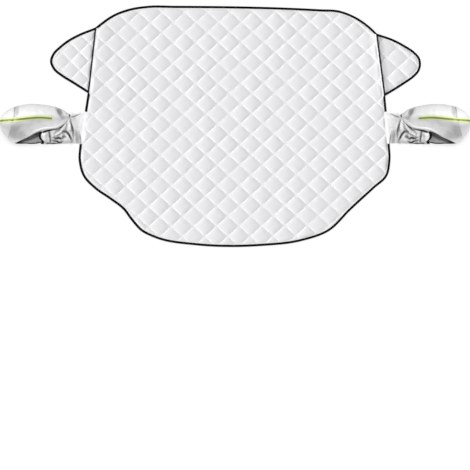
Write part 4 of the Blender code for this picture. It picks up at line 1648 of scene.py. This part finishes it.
def tube(path: Array, radius: float, sides: int) -> BMesh:
    """A round cord along a path, closed at its ends."""
    forward = unit(np.gradient(path, axis=0))
    across = unit(np.cross(forward, np.array([0.0, 0.0, 1.0])))
    above = np.cross(across, forward)
    turn = np.linspace(0, 2 * math.pi, sides + 1)[None, :, None]
    ring = across[:, None] * np.cos(turn) + above[:, None] * np.sin(turn)
    bm = cloth_grid(path[:, None] + ring * radius)
    bmesh.ops.remove_doubles(bm, verts=bm.verts, dist=radius / 100)
    bmesh.ops.holes_fill(bm, edges=[e for e in bm.edges if e.is_boundary])
    return bm


@dataclass(frozen=True)
class Finishes:
    """The finish of each material of the cover."""

    quilting: QuiltedLaminate = QuiltedLaminate()
    binding: BindingTape = BindingTape()
    silver: SilverCloth = SilverCloth()
    # The end panel's cloth: the same silver cloth, made lighter as painted light.
    end_silver: SilverCloth = SilverCloth(
        colour=(0.84, 0.84, 0.85), worn_colour=(0.80, 0.80, 0.81), metallic=0.05
    )
    # The sleeve's cloth: the same silver cloth, made lighter as painted light.
    pale_silver: SilverCloth = SilverCloth(
        colour=(0.85, 0.85, 0.86), worn_colour=(0.80, 0.80, 0.81), metallic=0.05
    )
    silver_back: SilverCloth = SilverCloth(
        colour=(0.31, 0.31, 0.312), worn_colour=(0.26, 0.26, 0.262), metallic=0.1,
        roughness=(0.5, 0.65),
    )  # fmt: skip
    strip: FluorescentTape = FluorescentTape()
    reflector: ReflectiveTape = ReflectiveTape()
    elastic: ElasticCord = ElasticCord()


@dataclass
class FrostCover:
    """The whole cover."""

    pattern: CoverPattern = field(default_factory=CoverPattern)
    finishes: Finishes = field(default_factory=Finishes)
    lattice: SeamLattice = SeamLattice((0.0256, 0.1139))
    # The flaps: side, seams, and how far out the panel's edge shades them
    flaps: tuple[tuple[Side, SeamLattice, float], ...] = (
        (Side.LEFT, SeamLattice((-0.778, 0.371), (0.065, 0.065), math.radians(44.5)), 0.018),
        (Side.RIGHT, SeamLattice((0.812, 0.292), (0.0762, 0.0762), math.radians(41.8)), 0.030),
    )  # fmt: skip
    bag_form: BagForm = BagForm()
    seam_leaf: float = 0.001  # the binding's upper leaf over a flap reaches this far inwards
    leaf_change: float = 0.012  # from a flap's seam to where the leaf has its full width

    def leaf_widths(self, line: Array) -> Array:
        """How far the upper binding's leaf reaches inwards: less where a flap is sewn under."""
        wide = BINDING_WIDTH / 2
        away = self.pattern.off_seams(line)
        return self.seam_leaf + (wide - self.seam_leaf) * eased(away / self.leaf_change)

    def flap_edge(self, side: Side, step: float) -> Array:
        """A flap's cut edge, closed by its hem under the panel."""
        seam = self.pattern.flap_seam(side, step)
        hem = offset_line(seam, -HEM)
        edge = offset_line(self.pattern.flap(side, step), CUT_EDGE)
        way = hem[-1] - hem[0]
        for end, beside in ((0, 1), (-1, -2)):
            slant = edge[end] - edge[beside]
            share = np.linalg.solve(np.column_stack([slant, -way]), hem[0] - edge[end])[0]
            edge[end] = edge[end] + slant * share
        return edge

    def build_panel(self) -> None:
        """Makes the main panel and its two bindings."""
        pattern, binding = self.pattern, self.finishes.binding
        upper = pattern.upper(FINE_STEP)
        tapes = [
            BoundEdge(
                "upper_binding", upper, pattern.rise, leaf=self.leaf_widths(upper)
            ).dress(binding),
            BoundEdge("lower_binding", pattern.lower(FINE_STEP), pattern.rise).dress(binding),
        ]
        QuiltedSheet(
            "main_panel", offset_line(pattern.panel(PANEL_STEP), CUT_EDGE, closed=True),
            offset_line(pattern.panel(FINE_STEP), CUT_EDGE, closed=True), self.lattice,
            pattern.rise,
        ).dress(self.finishes.quilting, tapes)  # fmt: skip

    def build_flap(self, side: Side, lattice: SeamLattice, tuck_reach: float) -> None:
        """Makes a door flap and its binding.

        Args:
            side: The side that it is on.
            lattice: Its seams.
            tuck_reach: How far out the panel's edge shades it.
        """
        ground = self.pattern.ridge
        tape = BoundEdge(
            f"{side.prefix}_flap_binding", self.pattern.flap(side, FINE_STEP), ground,
            self.pattern.upper(FLAP_STEP),
        ).dress(self.finishes.binding)  # fmt: skip
        QuiltedSheet(
            f"{side.prefix}_door_flap", self.flap_edge(side, FLAP_STEP),
            self.flap_edge(side, FINE_STEP), lattice, ground,
            self.pattern.flap_seam(side, FLAP_STEP), tuck_reach,
        ).dress(self.finishes.quilting, [tape])  # fmt: skip

    def build_bag(self, side: Side, surface: BagSurface) -> None:
        """Makes a mirror bag."""
        neck = self.pattern.neck(side, PANEL_STEP)
        if side is Side.LEFT:
            neck = neck[::-1] * np.array([-1.0, 1.0])
        MirrorBag(side, surface, neck, self.pattern.rise).dress(self.finishes)

    def build(self) -> None:
        """Makes every piece."""
        self.build_panel()
        for side, lattice, tuck_reach in self.flaps:
            self.build_flap(side, lattice, tuck_reach)
        surface = BagSurface(self.bag_form)
        for side in Side:
            self.build_bag(side, surface)


# The studio


@dataclass(frozen=True)
class KeyLamp:
    """A soft, far lamp for one group of things.

    Args:
        group: The group.
        towards: The way from the cover to the lamp.
        strength: Its strength.
        spread: How wide it looks from the cover.
    """

    group: Group
    towards: tuple[float, float, float]
    strength: float
    spread: float

    def build(self) -> None:
        """Makes the lamp."""
        lamp = bpy.data.lights.new(f"{self.group.value}_key", "SUN")
        lamp.energy = self.strength
        lamp.angle = self.spread
        key = bpy.data.objects.new(lamp.name, lamp)
        key.rotation_mode = "QUATERNION"
        key.rotation_quaternion = Vector(self.towards).to_track_quat("Z", "Y")
        bpy.context.scene.collection.objects.link(key)
        key.light_linking.receiver_collection = self.group.collection


@dataclass(frozen=True)
class Studio:
    """A pale floor, an even sky, soft key lamps, and a camera straight above.

    The photograph's quilting is lit from the left. Its bags are mirror images of each other, in
    their light too, so each has its own key lamp, behind it and on its outer side.
    """

    floor_colour: Colour = (0.62, 0.62, 0.62)
    floor_glow: float = 0.62  # what the camera sees of the floor beyond its light, up to white
    floor_size: float = 80.0
    floor_depth: float = 0.0004
    keys: tuple[KeyLamp, ...] = (
        KeyLamp(Group.FLAT, (-1.0, 0.05, 0.80), 2.95, math.radians(30)),
        KeyLamp(Group.LEFT, (-0.40, 0.38, 1.0), 2.45, math.radians(12)),
        KeyLamp(Group.RIGHT, (0.40, 0.38, 1.0), 2.45, math.radians(12)),
        KeyLamp(Group.FLOOR, (0.0, 0.80, 1.0), 1.0, math.radians(50)),
    )
    sky: float = 0.40
    camera_height: float = 25.0
    picture_width: float = 2.35  # metres of floor across the picture
    picture_middle: Point = (-0.0015, -0.5435)

    def build_floor(self) -> None:
        """Makes the floor, which keeps the cover's shadow and is white to the camera."""
        graph = Graph(bpy.data.materials.new("studio_floor"))
        material = graph.dress(
            Base_Color=self.floor_colour, Roughness=0.95, Specular_IOR_Level=0.0,
            Emission_Color=(1.0, 1.0, 1.0),
            Emission_Strength=graph.math("MULTIPLY", graph.seen(), self.floor_glow),
        )
        bm = bmesh.new()
        bmesh.ops.create_grid(bm, x_segments=1, y_segments=1, size=self.floor_size / 2)
        bmesh.ops.translate(bm, verts=bm.verts, vec=(0, 0, -self.floor_depth))
        mesh = bpy.data.meshes.new("floor")
        bm.to_mesh(mesh)
        bm.free()
        mesh.materials.append(material)
        floor = bpy.data.objects.new("floor", mesh)
        Group.FLOOR.collection.objects.link(floor)

    def build_sky(self) -> None:
        """Makes the even sky, which is white where it is seen."""
        world = bpy.data.worlds.new("studio")
        bpy.context.scene.world = world
        graph = Graph(world)
        graph.dress(Color=(1.0, 1.0, 1.0), Strength=graph.spread(graph.seen(), self.sky, 1.0))

    def build_camera(self) -> None:
        """Makes the camera, which looks straight down with +Y up in the picture."""
        lens = bpy.data.cameras.new("camera")
        lens.lens = lens.sensor_width * self.camera_height / self.picture_width
        lens.clip_end = 4 * self.camera_height
        camera = bpy.data.objects.new("camera", lens)
        camera.location = (*self.picture_middle, self.camera_height)
        bpy.context.scene.collection.objects.link(camera)
        bpy.context.scene.camera = camera

    def build(self) -> None:
        """Makes the floor, the lamps and the camera."""
        self.build_floor()
        for key in self.keys:
            key.build()
        self.build_sky()
        self.build_camera()
        bpy.context.scene.view_settings.view_transform = "Standard"
        LOG.info("studio: camera %.1f m above the floor", self.camera_height)


def main() -> None:
    """Builds the studio and the cover."""
    logging.basicConfig(level=logging.INFO, format="%(name)s: %(message)s")
    Studio().build()
    FrostCover().build()


if __name__ == "__main__":
    main()
